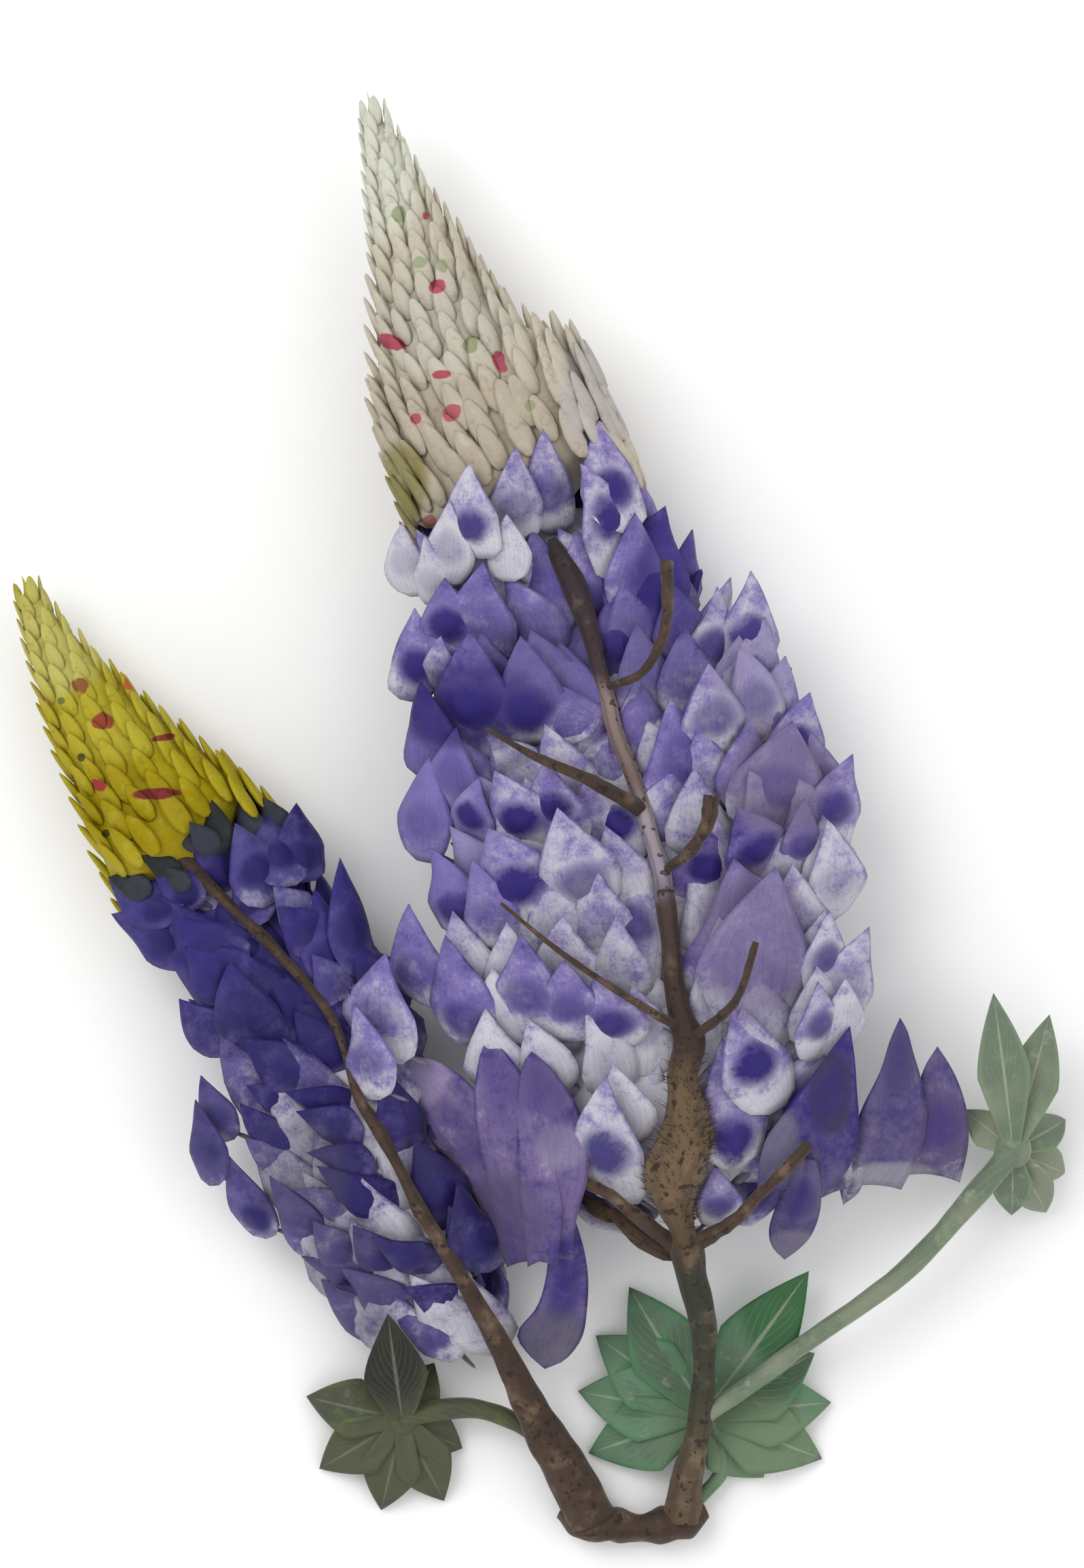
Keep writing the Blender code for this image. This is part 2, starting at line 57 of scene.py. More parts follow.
MM = 0.001
ORIGIN = Vector((-1.05, 148.85, 0.0))  # the middle of the plant's outline, on the surface
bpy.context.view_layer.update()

# Spike axes, as rows of y, x, z, and the reach of the head from its axis: left, right, front, back.
MAIN_AXIS = [
    (50, 31.5, 25), (70, 30, 26.5), (88, 31.8, 27.5), (103, 31.2, 28), (121, 27.8, 28), (136, 26, 28),
    (151, 22.5, 27.5), (161, 18.8, 27), (179, 13.5, 26.5), (196, 8.3, 26), (211, 2, 26), (226, -5, 26),
    (243, -14.5, 26), (263, -24, 25), (283, -31.5, 24), (300, -36.5, 22.5), (312, -39.3, 21.5),
]
MAIN_REACH = [
    (50, 14, 14, 8, 14), (66, 34, 26, 15, 24), (80, 44, 32, 19, 26.5), (95, 49, 36.5, 21, 27.5),
    (117, 53, 42.5, 22, 28), (128, 54, 41, 22, 28), (139, 51, 41, 22, 28), (151, 51.5, 46, 22, 27.5),
    (162, 46.5, 50.5, 22, 27), (173, 45, 45.5, 21, 26), (184, 46, 41.5, 21, 25), (196, 38, 37, 21, 24.5),
    (207, 36.5, 30, 21, 23.5), (218, 31, 25.5, 21, 22.5), (230, 28, 26.5, 20, 22), (240, 25.5, 28, 19, 20),
    (247, 23.5, 24, 17.5, 18), (253, 21, 17, 16, 16.5), (263, 15.8, 14.5, 13.5, 14),
    (274, 10.5, 12, 10.5, 10.5), (286, 7, 8.2, 7.5, 7.5), (297, 4.2, 5.6, 4.8, 4.8),
    (312, 1.5, 1.5, 1.5, 1.5),
]
SIDE_AXIS = [
    (38, -15, 9), (56, -24, 15), (72, -31.5, 17.5), (90, -39.5, 18), (106, -49, 18), (122, -62, 18),
    (138, -75, 18), (150, -84, 18), (162, -93, 17.5), (176, -102.5, 16.5), (190, -110.5, 15),
    (205, -116.5, 13.5),
]
SIDE_REACH = [
    (38, 24, 9, 7, 8.5), (56, 33, 12, 12, 14.5), (72, 35, 14, 13, 17.5), (90, 32, 16, 14, 18),
    (106, 27, 19, 15, 18), (122, 25, 24, 16, 18), (136, 22, 23, 16, 17.5), (148, 19.5, 20.5, 15, 16),
    (162, 14, 15, 12.5, 12.5), (176, 9.5, 10.5, 9, 9), (190, 5.2, 5.6, 5, 5), (205, 1.8, 1.8, 1.8, 1.8),
]
HEART = (0.6, 0.42)  # a head's pale inner florets, as a share of its reach across and in depth
FOOT = (0.54, 0.34)  # where a floret starts

# Stems, as x, y, z and radius.
MAIN_STEM = [
    (31.2, -7, 5.6, 4.4), (31.6, 0, 7, 3.7), (33.5, 9, 9.5, 3.1), (35, 17, 11.8, 2.8), (35.8, 28, 16, 2.6),
    (35.2, 38, 20.5, 3), (33.4, 46, 24, 3.3), (31.6, 54, 27.6, 3.9), (30.4, 60, 29.6, 2.9),
    (28.6, 66, 31.4, 4.8), (28.2, 71, 32.6, 6.1), (29.8, 76, 33.6, 6.5), (31.2, 81, 34.6, 5.9),
    (31.2, 86, 35.4, 4.6), (30.6, 92, 36, 3.4), (31.2, 97, 36.5, 3.5), (32, 101, 36.8, 3.7),
    (30.4, 106, 37, 2.7), (28.6, 114, 37.4, 2.3), (27.9, 122, 37.4, 2.1), (26.8, 131, 37.3, 2.3),
    (26, 138, 37, 2), (24, 145, 36.8, 1.7), (22, 152, 36.4, 1.8), (19.4, 160, 36, 1.8),
    (16.2, 168, 35.8, 1.8), (14.1, 176, 35.6, 1.9), (12.1, 183, 35.5, 1.8), (10.6, 190, 35.3, 2),
    (8, 198, 35.1, 2.7), (5, 204.5, 35, 2.6), (3.1, 208.5, 35, 2), (1.8, 211.5, 35, 0.9),
]
SIDE_STEM = [
    (11, -7, 5.6, 5.2), (7, 1, 7, 5.4), (1, 11.5, 10, 4.6), (-4, 21, 12.5, 3.6), (-9.2, 32, 16, 2.7),
    (-13.5, 40, 18.5, 2.2), (-18, 48, 20.5, 1.8), (-23, 56.5, 22, 1.7), (-27.5, 64, 23, 1.6),
    (-32, 73, 24.5, 1.2), (-36.5, 81.5, 25.3, 1.6), (-40.8, 88.5, 25.5, 1.2), (-43.4, 97, 25.5, 0.9),
    (-46, 104.5, 25.5, 1), (-51, 112, 25.5, 1.1), (-57.6, 119.3, 25.5, 1.2), (-63, 125, 25.5, 1.4),
    (-70, 131.5, 25.5, 1.2), (-76, 137.5, 25.4, 1.6), (-81, 142, 25.2, 1.9), (-85, 145.2, 25, 0.9),
]
CROWN = [
    (4, -4.5, 5, 2.2), (8, -6.5, 5, 4.2), (13.5, -7.8, 5, 4.3), (21, -8.8, 4.6, 3.4), (28, -8, 5, 4),
    (32.5, -6.6, 5, 3.9), (36.5, -5, 4.6, 1.6),
]
BRANCHES = [
    ([(13.4, 178.7), (21, 181.5), (25.5, 188.3), (27, 196), (26.9, 206)], 0.8, 1.5),
    ([(21.6, 152), (10.5, 158.3), (-1.5, 163.5), (-12.6, 169.7)], 1.9, 0.4),
    ([(26.3, 138.5), (31.5, 142.5), (35.3, 148.5), (36.8, 155)], 1, 1.9),
    ([(30.8, 103.8), (21, 109.5), (4.7, 120.3), (-9.2, 131.6)], 1.2, 0.4),
    ([(31.5, 101.3), (39, 107.3), (42.8, 112.5), (46.2, 123.2)], 1.1, 0.8),
]
LOW_LEFT_BRANCH = [
    (30, 55, 27.5, 2), (21, 62.3, 32, 1.5), (13, 68.3, 33, 1.4), (6, 70.5, 31, 1.3), (0.5, 70.5, 28, 1.2),
]
LOW_RIGHT_BRANCH = [
    (31.5, 55, 27.5, 2.2), (41.3, 61.2, 32, 1.5), (46.5, 66.5, 35, 1.3), (52, 72, 38, 1.4),
    (58.3, 78.8, 38.4, 1.3),
]
# Behind the petals of the low right bloom.
BLOOM_STALK = [(56, 77, 33, 1.5), (64, 74, 24.5, 1.4), (76, 73, 20.5, 1.2), (87, 74, 17.5, 0.9)]
BRACTS = [((29.5, 53, 27), (12.5, 64.5, 24), 3.4), ((16, 61, 24.6), (7, 67, 22), 2)]

# The petals seen from the front: tip x and y, foot x and y, half width, depth of colour, strength of the
# dark blotch and its place up the petal.
MAIN_PETALS = [
    (12, 237, 19, 213, 5.8, 0.3, 0.95, 0.38), (8, 227.5, 15.5, 203, 5.2, 0.22, 0.95, 0.52),
    (0, 235, 3, 213, 4.8, 0.28, 0.6, 0.42), (-6, 231, -5, 211, 4.8, 0.22, 0.45, 0.4),
    (-16, 227.5, -12.5, 207, 5, 0.16, 0.9, 0.38), (-20.5, 219.5, -22, 201, 4.6, 0.06, 0.35, 0.5),
    (-31, 215, -28, 199, 4.2, 0.08, 0.25, 0.5), (-26, 212, -25, 197, 3.6, 0.04, 0.2, 0.4),
    (-8, 216.5, -7.5, 202, 4, 0.02, 0, 0.4), (-21.5, 202.8, -19, 184, 6, 0.5, 0.95, 0.5),
    (-13.2, 206, -11, 184, 6.2, 0.48, 0.3, 0.5), (-2.6, 213.5, 0, 189, 6.4, 0.52, 0.45, 0.5),
    (7.5, 213.5, 13, 190, 5.4, 0.45, 0.7, 0.35), (4, 207, 8, 186, 5, 0.6, 0.4, 0.5),
    (20, 217, 20, 194, 5.5, 0.45, 0.4, 0.4), (26.8, 218.8, 25, 189, 8.2, 0.8, 0.95, 0.42),
    (16, 201, 18, 178.5, 6.5, 0.68, 0.85, 0.45), (-28.3, 196.3, -30, 176, 5.6, 0.4, 0.95, 0.42),
    (-22.5, 190, -22, 178, 3.5, 0.2, 0.2, 0.5), (-27, 180.5, -26, 159, 5.4, 0.72, 0.5, 0.6),
    (-16, 191, -15, 167, 7.2, 0.58, 1, 0.35), (-5, 190, -4, 166, 6.6, 0.52, 0.9, 0.35),
    (3.5, 189, 4, 166, 6.2, 0.48, 0.3, 0.4), (10, 180, 12, 163, 5, 0.4, 0.5, 0.4),
    (-25, 163.5, -26.5, 140.5, 5.4, 0.48, 0.35, 0.4), (-19, 170, -18, 147, 5.6, 0.5, 0.4, 0.6),
    (-14, 159, -14, 143, 4.2, 0.3, 0.95, 0.5), (-12.5, 168, -4, 158.5, 3.8, 0.14, 0.1, 0.5),
    (-10.6, 160.5, -3.5, 141, 7.2, 0.28, 1, 0.5), (0.5, 163, 6, 144, 5.8, 0.34, 0.95, 0.52),
    (12.3, 159, 19, 139, 5.2, 0.32, 0.98, 0.5), (3, 152.5, 12.5, 130, 7, 0.2, 0.7, 0.32),
    (22.3, 137.6, 20, 112, 7, 0.22, 0.85, 0.58), (-24.7, 143.5, -19, 125, 5, 0.48, 0.85, 0.3),
    (-12, 148, -3.5, 125, 9.2, 0.3, 1, 0.48), (-15.5, 141, -11, 121, 5.2, 0.4, 0.45, 0.4),
    (-29.6, 131.3, -22, 108, 5.8, 0.42, 0.55, 0.4), (-21.5, 124.5, -16, 100, 6.2, 0.48, 0.75, 0.25),
    (-34.6, 120.5, -33, 96, 7.2, 0.34, 0.45, 0.45), (-41.5, 109.3, -37.5, 88, 5.4, 0.36, 0.5, 0.45),
    (-5, 125, -3.5, 102, 6.8, 0.42, 0.65, 0.45), (4.6, 119.4, 4, 101, 6.4, 0.42, 0.55, 0.5),
    (11.5, 117, 15, 99, 6.4, 0.36, 0.9, 0.4), (19.5, 113.5, 22.5, 92.5, 6.2, 0.14, 0.35, 0.55),
    (13.8, 94.3, 19, 65, 6.4, 0.2, 0.9, 0.45), (39.2, 102, 41.5, 73, 6.4, 0.36, 0.95, 0.22),
    (41.5, 109, 51.5, 86, 6.8, 0.28, 1, 0.5), (37.6, 73.4, 38, 60, 4.2, 0.32, 0.7, 0.35),
    (38.2, 201, 33, 179, 4.4, 0.28, 0.85, 0.42), (45.6, 204.6, 41, 181, 5.4, 0.28, 0.9, 0.42),
    (48.8, 194.3, 44, 174, 5.6, 0.32, 0.85, 0.38), (53.2, 185.8, 48.5, 165, 5.4, 0.28, 0.6, 0.38),
    (58.6, 177.8, 56, 158, 5.6, 0.36, 0.95, 0.42), (68, 164.2, 63.5, 143, 5.8, 0.36, 0.85, 0.45),
    (62, 150, 62, 127, 5.4, 0.18, 0.3, 0.4), (71.6, 126.2, 64, 103, 5.8, 0.18, 0.4, 0.5),
    (62.5, 130, 61.5, 110, 4.6, 0.15, 0.8, 0.5), (66, 115, 64, 98, 5, 0.12, 0.1, 0.5),
    (60, 114.5, 59.5, 97, 4.6, 0.22, 0.8, 0.5), (27.5, 176.4, 29, 145, 7.6, 0.44, 0.55, 0.6),
    (20.5, 181, 24, 159, 5.2, 0.3, 0.4, 0.4), (19, 170, 24.5, 156, 4.2, 0.46, 0.8, 0.45),
    (36, 184, 38.5, 162, 6.2, 0.28, 0.6, 0.5), (43, 188, 45, 165, 5.8, 0.3, 0.5, 0.5),
    (54.5, 171.5, 47, 147, 9, 0.4, 0.45, 0.45), (42.2, 152.5, 48.5, 137, 6.2, 0.55, 0.95, 0.45),
    (36.2, 147.6, 33, 130, 7.2, 0.52, 1, 0.6), (29, 161, 28, 141, 7, 0.28, 0.55, 0.35),
    (57, 154.5, 58.5, 139, 4, 0.46, 0.65, 0.4), (41.5, 141.5, 39.5, 106, 11.2, 0.42, 0.5, 0.25),
    (50.6, 139.6, 46.5, 104, 10.8, 0.38, 0.15, 0.3),
]
SIDE_PETALS = [
    (-54.7, 153.4, -52, 136, 5.2, 0.82, 1, 0.3), (-45, 141.2, -39.5, 114.5, 4.4, 0.78, 0.8, 0.4),
    (-62, 151, -56, 135, 5.2, 0.66, 1, 0.4), (-68, 149, -60.5, 131, 5.4, 0.6, 1, 0.42),
    (-78.5, 147.3, -70, 132, 4.8, 0.72, 0.95, 0.35), (-96.3, 136.9, -80, 129.5, 4.6, 0.78, 1, 0.25),
    (-95.6, 128.9, -78, 118.5, 5.2, 0.78, 1, 0.35), (-86, 139, -75.5, 131, 3.8, 0.76, 0.95, 0.3),
    (-77, 136.5, -69.5, 128, 3.8, 0.2, 0.1, 0.5), (-68.5, 135, -60, 128.5, 3.6, 0.7, 1, 0.5),
    (-59.5, 135, -51, 126.5, 4, 0.34, 0.3, 0.5), (-50.6, 134.4, -47, 113.5, 4.8, 0.78, 1, 0.25),
    (-58.5, 130.5, -50, 121, 4.2, 0.82, 0.6, 0.4), (-81, 128.5, -66, 118, 5.2, 0.84, 0.6, 0.5),
    (-79, 121.5, -66.5, 110.5, 6, 0.86, 0.5, 0.5), (-69.5, 126.8, -59.5, 118.5, 4, 0.78, 1, 0.5),
    (-69, 118.5, -60, 99, 6.4, 0.84, 0.4, 0.5), (-62, 118.5, -54, 102.5, 5.2, 0.84, 1, 0.45),
    (-51, 120, -44, 107, 4.2, 0.42, 0.3, 0.5), (-80.6, 110.1, -68, 99.5, 4.8, 0.78, 0.3, 0.4),
    (-66, 101.5, -49.5, 91, 5.2, 0.78, 0.5, 0.4), (-55, 107.5, -42.5, 95, 4.8, 0.84, 1, 0.3),
    (-75.8, 93.1, -69.5, 78.5, 3.7, 0.62, 0.4, 0.4), (-77, 87.7, -73, 68.5, 3.8, 0.72, 0.4, 0.4),
    (-65.6, 91.1, -55.5, 85.5, 2.8, 0.82, 0.95, 0.4), (-57, 89.8, -39.5, 85.5, 3.2, 0.88, 0.4, 0.5),
    (-67.1, 87.2, -53.5, 76.5, 3.8, 0.82, 0.8, 0.3), (-54.5, 85.5, -40.5, 78, 3.8, 0.8, 0.4, 0.4),
    (-52.2, 76.3, -37, 71.5, 3.2, 0.92, 0.4, 0.4), (-50, 73.5, -31, 64.5, 3.9, 0.92, 0.5, 0.4),
    (-66, 79.3, -56.5, 71, 3, 0.42, 0.2, 0.4), (-70, 75.7, -60.5, 57, 3.9, 0.62, 0.9, 0.25),
    (-60.5, 71, -50, 52.5, 4.3, 0.58, 0.4, 0.4), (-55, 68.2, -40.5, 61, 3, 0.46, 0.3, 0.4),
    (-51, 61, -40.5, 50, 4.2, 0.5, 0.4, 0.4), (-42, 60.2, -32.5, 49.5, 4, 0.68, 0.9, 0.3),
    (-38, 57.8, -21.5, 51.5, 3.3, 0.82, 0.8, 0.5), (-49.4, 47.4, -33, 35, 5.2, 0.5, 0.3, 0.4),
    (-45, 50.4, -29.5, 36.5, 4.2, 0.5, 0.3, 0.4), (-31.4, 46, -16.5, 37.5, 4.1, 0.78, 0.6, 0.3),
    (-34, 39.5, -17.5, 31, 4.3, 0.52, 0.3, 0.4), (-34.7, 94.2, -29.5, 75, 4.8, 0.86, 0.5, 0.4),
    (-28.6, 79, -21.5, 59, 5.6, 0.9, 0.7, 0.4), (-19, 69.8, -10.5, 50, 5.4, 0.84, 0.7, 0.3),
    (-21, 64.5, -18.5, 50, 3.8, 0.86, 0.6, 0.4), (-33, 77.2, -30, 66.5, 2.2, 0.25, 0.1, 0.5),
]

# Dark sepals where the side spike's buds begin: tip, foot, half width and depth of colour.
SIDE_SEPALS = [
    (-73, 154.2, -70.5, 142.5, 3.4, 0.95), (-67.4, 153.8, -63, 145.5, 3, 0.45),
    (-62, 154.7, -57, 145.5, 3.4, 0.5), (-77.8, 149.4, -72, 142.5, 3, 0.5),
    (-80.6, 148.2, -75.5, 143, 2.2, 0.6), (-88.6, 141.9, -80, 137.5, 2.8, 0.9),
    (-96.3, 137, -86.5, 134, 3.2, 0.75), (-84, 139.5, -78, 134.5, 2.4, 0.7),
]

# The low blooms' petals: the left edge and the right edge from foot to tip as x, y, z, then depth of colour,
# strength of the blotch and its place.
LOW_LEFT_HEART = (-2.5, 68, 26.5)
LOW_LEFT_PETALS = [
    ([(-8.5, 51.5, 15), (-11, 58, 15), (-15, 65, 16), (-20, 73, 17), (-26, 79.5, 17), (-29, 86, 18),
     (-31, 92, 20), (-29.5, 97.5, 22)],
     [(2, 53, 25), (-2, 66, 30), (-6, 78, 32), (-12, 86, 32), (-15, 90.2, 31), (-19, 93.8, 28),
     (-24, 96.6, 25), (-29.5, 97.5, 22)],
     0.5, 0.3, 0.5),
    ([(-8, 51, 17), (-10.5, 62, 20), (-13.5, 74, 27), (-15, 84, 32), (-15, 91.5, 34), (-13.9, 98, 34),
     (-12, 102.4, 33)],
     [(3, 52, 28), (4, 64, 34), (2, 76, 36), (-1, 86, 37), (-4.6, 93.8, 36), (-8.6, 98.9, 34),
     (-12, 102.4, 33)],
     0.56, 0.35, 0.78),
    ([(-3.5, 51.5, 24), (-4.5, 62, 30), (-5.5, 74, 34), (-5.8, 84, 36), (-5.3, 92, 37), (-4.3, 96.6, 37),
     (-2.6, 98.9, 36)],
     [(6.5, 53, 27), (7.2, 62, 31), (9.8, 71.5, 34), (9.8, 80, 35), (6.8, 88, 36), (2.2, 94.6, 36),
     (-2.6, 98.9, 36)],
     0.54, 0.3, 0.72),
    ([(2.8, 63, 29), (1.4, 55, 25), (0.6, 48, 21), (-1.4, 41.5, 17), (-5.8, 35.6, 14), (-3.6, 31, 13),
     (0.3, 27.4, 12.5)],
     [(6.5, 63, 29), (8.6, 56, 25), (9.8, 48.5, 21), (9.6, 41, 17), (8.6, 34.6, 14), (5, 29.6, 13),
     (0.3, 27.4, 12.5)],
     0.7, 0.6, 0.45),
]
LOW_RIGHT_HEART = (60, 75, 27)
LOW_RIGHT_PETALS = [
    ([(47, 68, 31), (47.4, 74, 33.5), (49, 80, 35), (53.4, 86, 35.5), (58, 92.4, 35.5), (62.8, 98.8, 35),
     (67.3, 104.4, 34)],
     [(61, 67.5, 29), (66.5, 72, 29.5), (69, 78, 30), (69.3, 84.5, 31), (68.8, 91, 32), (68.3, 97.6, 33),
     (67.3, 104.4, 34)],
     0.78, 0.5, 0.62),
    ([(60, 66.5, 24), (64, 72, 25.5), (67.6, 79.5, 27), (70.6, 87, 29), (74, 94, 30.5), (76.2, 101, 31),
     (78.5, 106.2, 30.5)],
     [(79, 69, 22), (83, 76, 24), (84.6, 84, 26), (83.3, 92, 28), (81.4, 98.4, 29.5), (80.2, 103, 30.5),
     (78.5, 106.2, 30.5)],
     0.6, 0.35, 0.72),
    ([(74, 70, 20), (78.5, 77, 22), (81.5, 85, 24), (83.2, 92.3, 25.5), (84.5, 95.8, 26), (87, 99.7, 26)],
     [(92.4, 70.3, 17), (94, 77, 19.5), (93.9, 83.5, 22), (92.4, 89.6, 24), (90, 95, 25.5), (87, 99.7, 26)],
     0.52, 0.5, 0.4),
    ([(63.5, 74, 26), (65.4, 69, 23), (66.4, 64.4, 21)],
     [(71.5, 74, 26), (70, 68, 23), (66.4, 64.4, 21)],
     0.34, 0, 0.5),
    ([(54.8, 75, 35), (53.4, 69.5, 31), (51.2, 64, 26), (50, 59, 21), (50.8, 55, 17.5), (53.6, 52, 15)],
     [(60, 75, 35), (61, 69.5, 31), (61, 63.5, 26), (59.4, 58, 21), (56.6, 54.4, 17.5), (53.6, 52, 15)],
     0.66, 0.7, 0.35),
]

# Where a head shows no inner petals, under the low blooms and their branches: middle and half size.
BARE = [
    ((61, 84), (15, 22)), ((-3, 72), (12, 23)), ((20, 66), (17, 13)), ((43, 64), (10, 12)),
    ((-29, 84), (8, 13)), ((-18, 62), (9, 14)),
]

# Leaves: the middle, the petiole's points, and each leaflet's direction, length and the height of its tip.
LEAVES = {
    "leaf_left": {
        "hue": "olive", "tints": ((62, 66, 52), (88, 102, 58), (112, 112, 96)), "half_width": 7.2,
        "washes": [((-34, 36), (12, 18), (4, 8, 12)), ((-30, 6), (22, 10), (74, 78, 56))],
        "middle": (-31.5, 15.8, 6),
        "petiole": [
            (0.6, 9.8, 5.5, 1.9), (-6, 15, 7.2, 2), (-15, 18.2, 8.2, 2.2), (-24, 17.6, 7.4, 2.4),
            (-31.5, 15.8, 6, 2.6),
        ],
        "leaflets": [
            (97, 24.5, 18.5), (168, 22, 2), (212, 22, 1), (257, 21.5, 1), (296, 21, 1), (60, 14, 3),
            (332, 15, 1.5),
        ],
    },
    "leaf_centre": {
        "hue": "emerald", "tints": ((76, 100, 78), (72, 130, 84), (152, 160, 140)), "half_width": 8.8,
        "washes": [((52, 42), (9, 13), (26, 88, 38)), ((44, 10), (20, 12), (102, 124, 94))],
        "middle": (36, 17, 2.6),
        "petiole": [(34.5, -2.5, 5, 1.5), (39.8, 3.5, 3.6, 1.7), (39.5, 11, 3, 1.9), (36, 17, 2.6, 2.1)],
        "leaflets": [
            (121, 32.5, 2), (145, 29.5, 1), (171, 28.5, 1), (200, 27.5, 1), (54, 39.5, 9), (28, 28, 3),
            (4, 28.5, 1.5), (338, 28.5, 1), (312, 20, 1),
        ],
    },
    "leaf_right": {
        "hue": "sage", "tints": ((96, 112, 92), (126, 146, 112), (160, 164, 148)), "half_width": 6,
        "washes": (),
        "middle": (104, 76.5, 19),
        "petiole": [
            (35.5, 16.5, 11.5, 1.9), (46, 24, 13, 2), (58, 33, 14, 2.1), (80, 49, 14.5, 2.2),
            (96, 66.5, 17, 2.6), (104, 76.5, 19, 2.8),
        ],
        "leaflets": [
            (97, 35, 19), (74, 31, 14), (140, 13.5, 15), (272, 15, 8), (300, 17, 3), (25, 14, 4),
            (335, 14, 2),
        ],
    },
}

# Washes of colour over the plant: centre, half size, colour from 0 to 255.
MAIN_WASHES = [
    ((-22, 150), (12, 26), (112, 100, 164)), ((46, 122), (13, 18), (112, 100, 136)),
    ((8, 186), (24, 12), (92, 82, 138)), ((46, 182), (10, 12), (140, 132, 166)),
    ((52, 158), (13, 14), (108, 96, 130)), ((-16, 175), (17, 10), (30, 14, 96)),
    ((28, 203), (9, 14), (50, 32, 118)),
]
SIDE_WASHES = [
    ((-66, 126), (30, 22), (48, 38, 120)), ((-58, 106), (12, 12), (26, 20, 84)),
    ((-74, 80), (7, 14), (62, 56, 104)), ((-24, 70), (8, 22), (36, 30, 70)),
    ((-44, 48), (12, 14), (62, 57, 88)), ((-54, 72), (12, 13), (62, 58, 84)),
]
CREAM_WASHES = [
    ((-18, 232), (30, 16), (172, 161, 144)), ((12, 244), (9, 14), (174, 168, 164)),
    ((-31, 223), (6, 10), (128, 120, 74)), ((-22, 258), (16, 12), (184, 178, 164)),
    ((-38, 300), (14, 24), (200, 201, 186)),
]
YELLOW_WASHES = [
    ((-88, 153), (18, 11), (146, 128, 2)), ((-74, 162), (14, 6), (158, 142, 14)),
    ((-107, 192), (12, 16), (180, 173, 94)), ((-94, 172), (14, 9), (168, 156, 42)),
]

# Where the buds begin in front, as x and y.
MAIN_EDGE = [(-35, 211), (-24, 213), (-16, 220), (-6, 224), (0, 227), (12, 227), (17, 222), (21, 216)]
SIDE_EDGE = [(-100, 133), (-96, 136), (-88, 140), (-80, 145), (-73, 148.5), (-62, 149.5), (-54, 150)]

# Flecks on the buds: centre, half size, turn in degrees, colour.
CREAM_FLECKS = [
    ((-23.2, 266.6), (1.9, 1.6), 20, (168, 62, 84)), ((-33.6, 254.7), (3.4, 1.5), -25, (156, 50, 76)),
    ((-9.6, 249.8), (1.5, 2.6), 20, (170, 70, 92)), ((-22.2, 247), (2.2, 0.9), 5, (160, 56, 78)),
    ((-20.1, 238.6), (2.2, 1.7), 30, (162, 76, 92)), ((-27.9, 237.5), (1.2, 1.2), 0, (160, 70, 88)),
    ((-25.8, 282.6), (0.8, 1), 0, (176, 96, 110)), ((-25, 215.5), (1.8, 1.3), 0, (150, 96, 84)),
    ((-31.8, 282.9), (1.6, 1.9), 0, (144, 152, 118)), ((-27.2, 272), (1.7, 1.3), 0, (146, 154, 122)),
    ((-22.2, 271.2), (1.3, 1.6), 0, (146, 152, 120)), ((-15.9, 253.7), (1.7, 1.9), 0, (138, 140, 108)),
    ((-2.9, 240.2), (1.2, 1.2), 0, (140, 142, 110)), ((-18, 219), (1.5, 1.4), 0, (120, 150, 118)),
]
YELLOW_FLECKS = [
    ((-102.3, 179.3), (2, 1.7), 0, (128, 72, 44)), ((-97.2, 171.5), (2.4, 1.9), 0, (140, 52, 46)),
    ((-90.9, 180.2), (2.2, 1.7), 20, (176, 82, 38)), ((-67, 164.1), (2.2, 1.8), 20, (186, 88, 40)),
    ((-98, 157.4), (2, 1.2), -20, (140, 30, 50)), ((-83.6, 167.9), (2.8, 0.8), 10, (120, 28, 42)),
    ((-85.5, 155.4), (5.4, 1.2), 3, (112, 22, 42)), ((-102, 163.4), (0.9, 0.9), 0, (66, 58, 30)),
    ((-96.6, 146.6), (1, 0.9), 0, (60, 54, 30)), ((-106.5, 176), (0.9, 0.8), 0, (96, 104, 50)),
]

# Main stem's colours up its length: height and colour.
STEM_BANDS = [
    (-12, (92, 72, 56)), (10, (78, 66, 50)), (22, (52, 54, 40)), (50, (46, 48, 36)), (58, (84, 66, 46)),
    (72, (108, 88, 64)), (92, (98, 78, 56)), (100, (56, 40, 34)), (131, (68, 52, 46)),
    (138, (142, 132, 148)), (150, (150, 140, 144)), (158, (110, 92, 88)), (176, (134, 116, 112)),
    (182, (58, 42, 48)), (212, (46, 34, 40)),
]
LOW_LEFT_WASHES = [
    ((-27, 93), (6, 7), (152, 138, 174)), ((-8, 62), (9, 11), (78, 66, 106)),
    ((2, 34), (8, 8), (92, 88, 94)), ((4, 78), (6, 5), (132, 122, 150)), ((-1, 91), (7, 6), (84, 72, 118)),
]
LOW_RIGHT_WASHES = [
    ((63, 90), (5, 10), (42, 40, 50)), ((51, 78), (6, 9), (104, 102, 120)),
    ((77, 71), (10, 3.5), (146, 144, 152)), ((88, 82), (6, 8), (78, 62, 106)),
    ((55, 55), (6, 4), (124, 116, 134)), ((78, 97), (4, 8), (66, 60, 94)),
]
SIDE_HEART_WASHES = [((-66, 128), (34, 24), (52, 44, 110))]

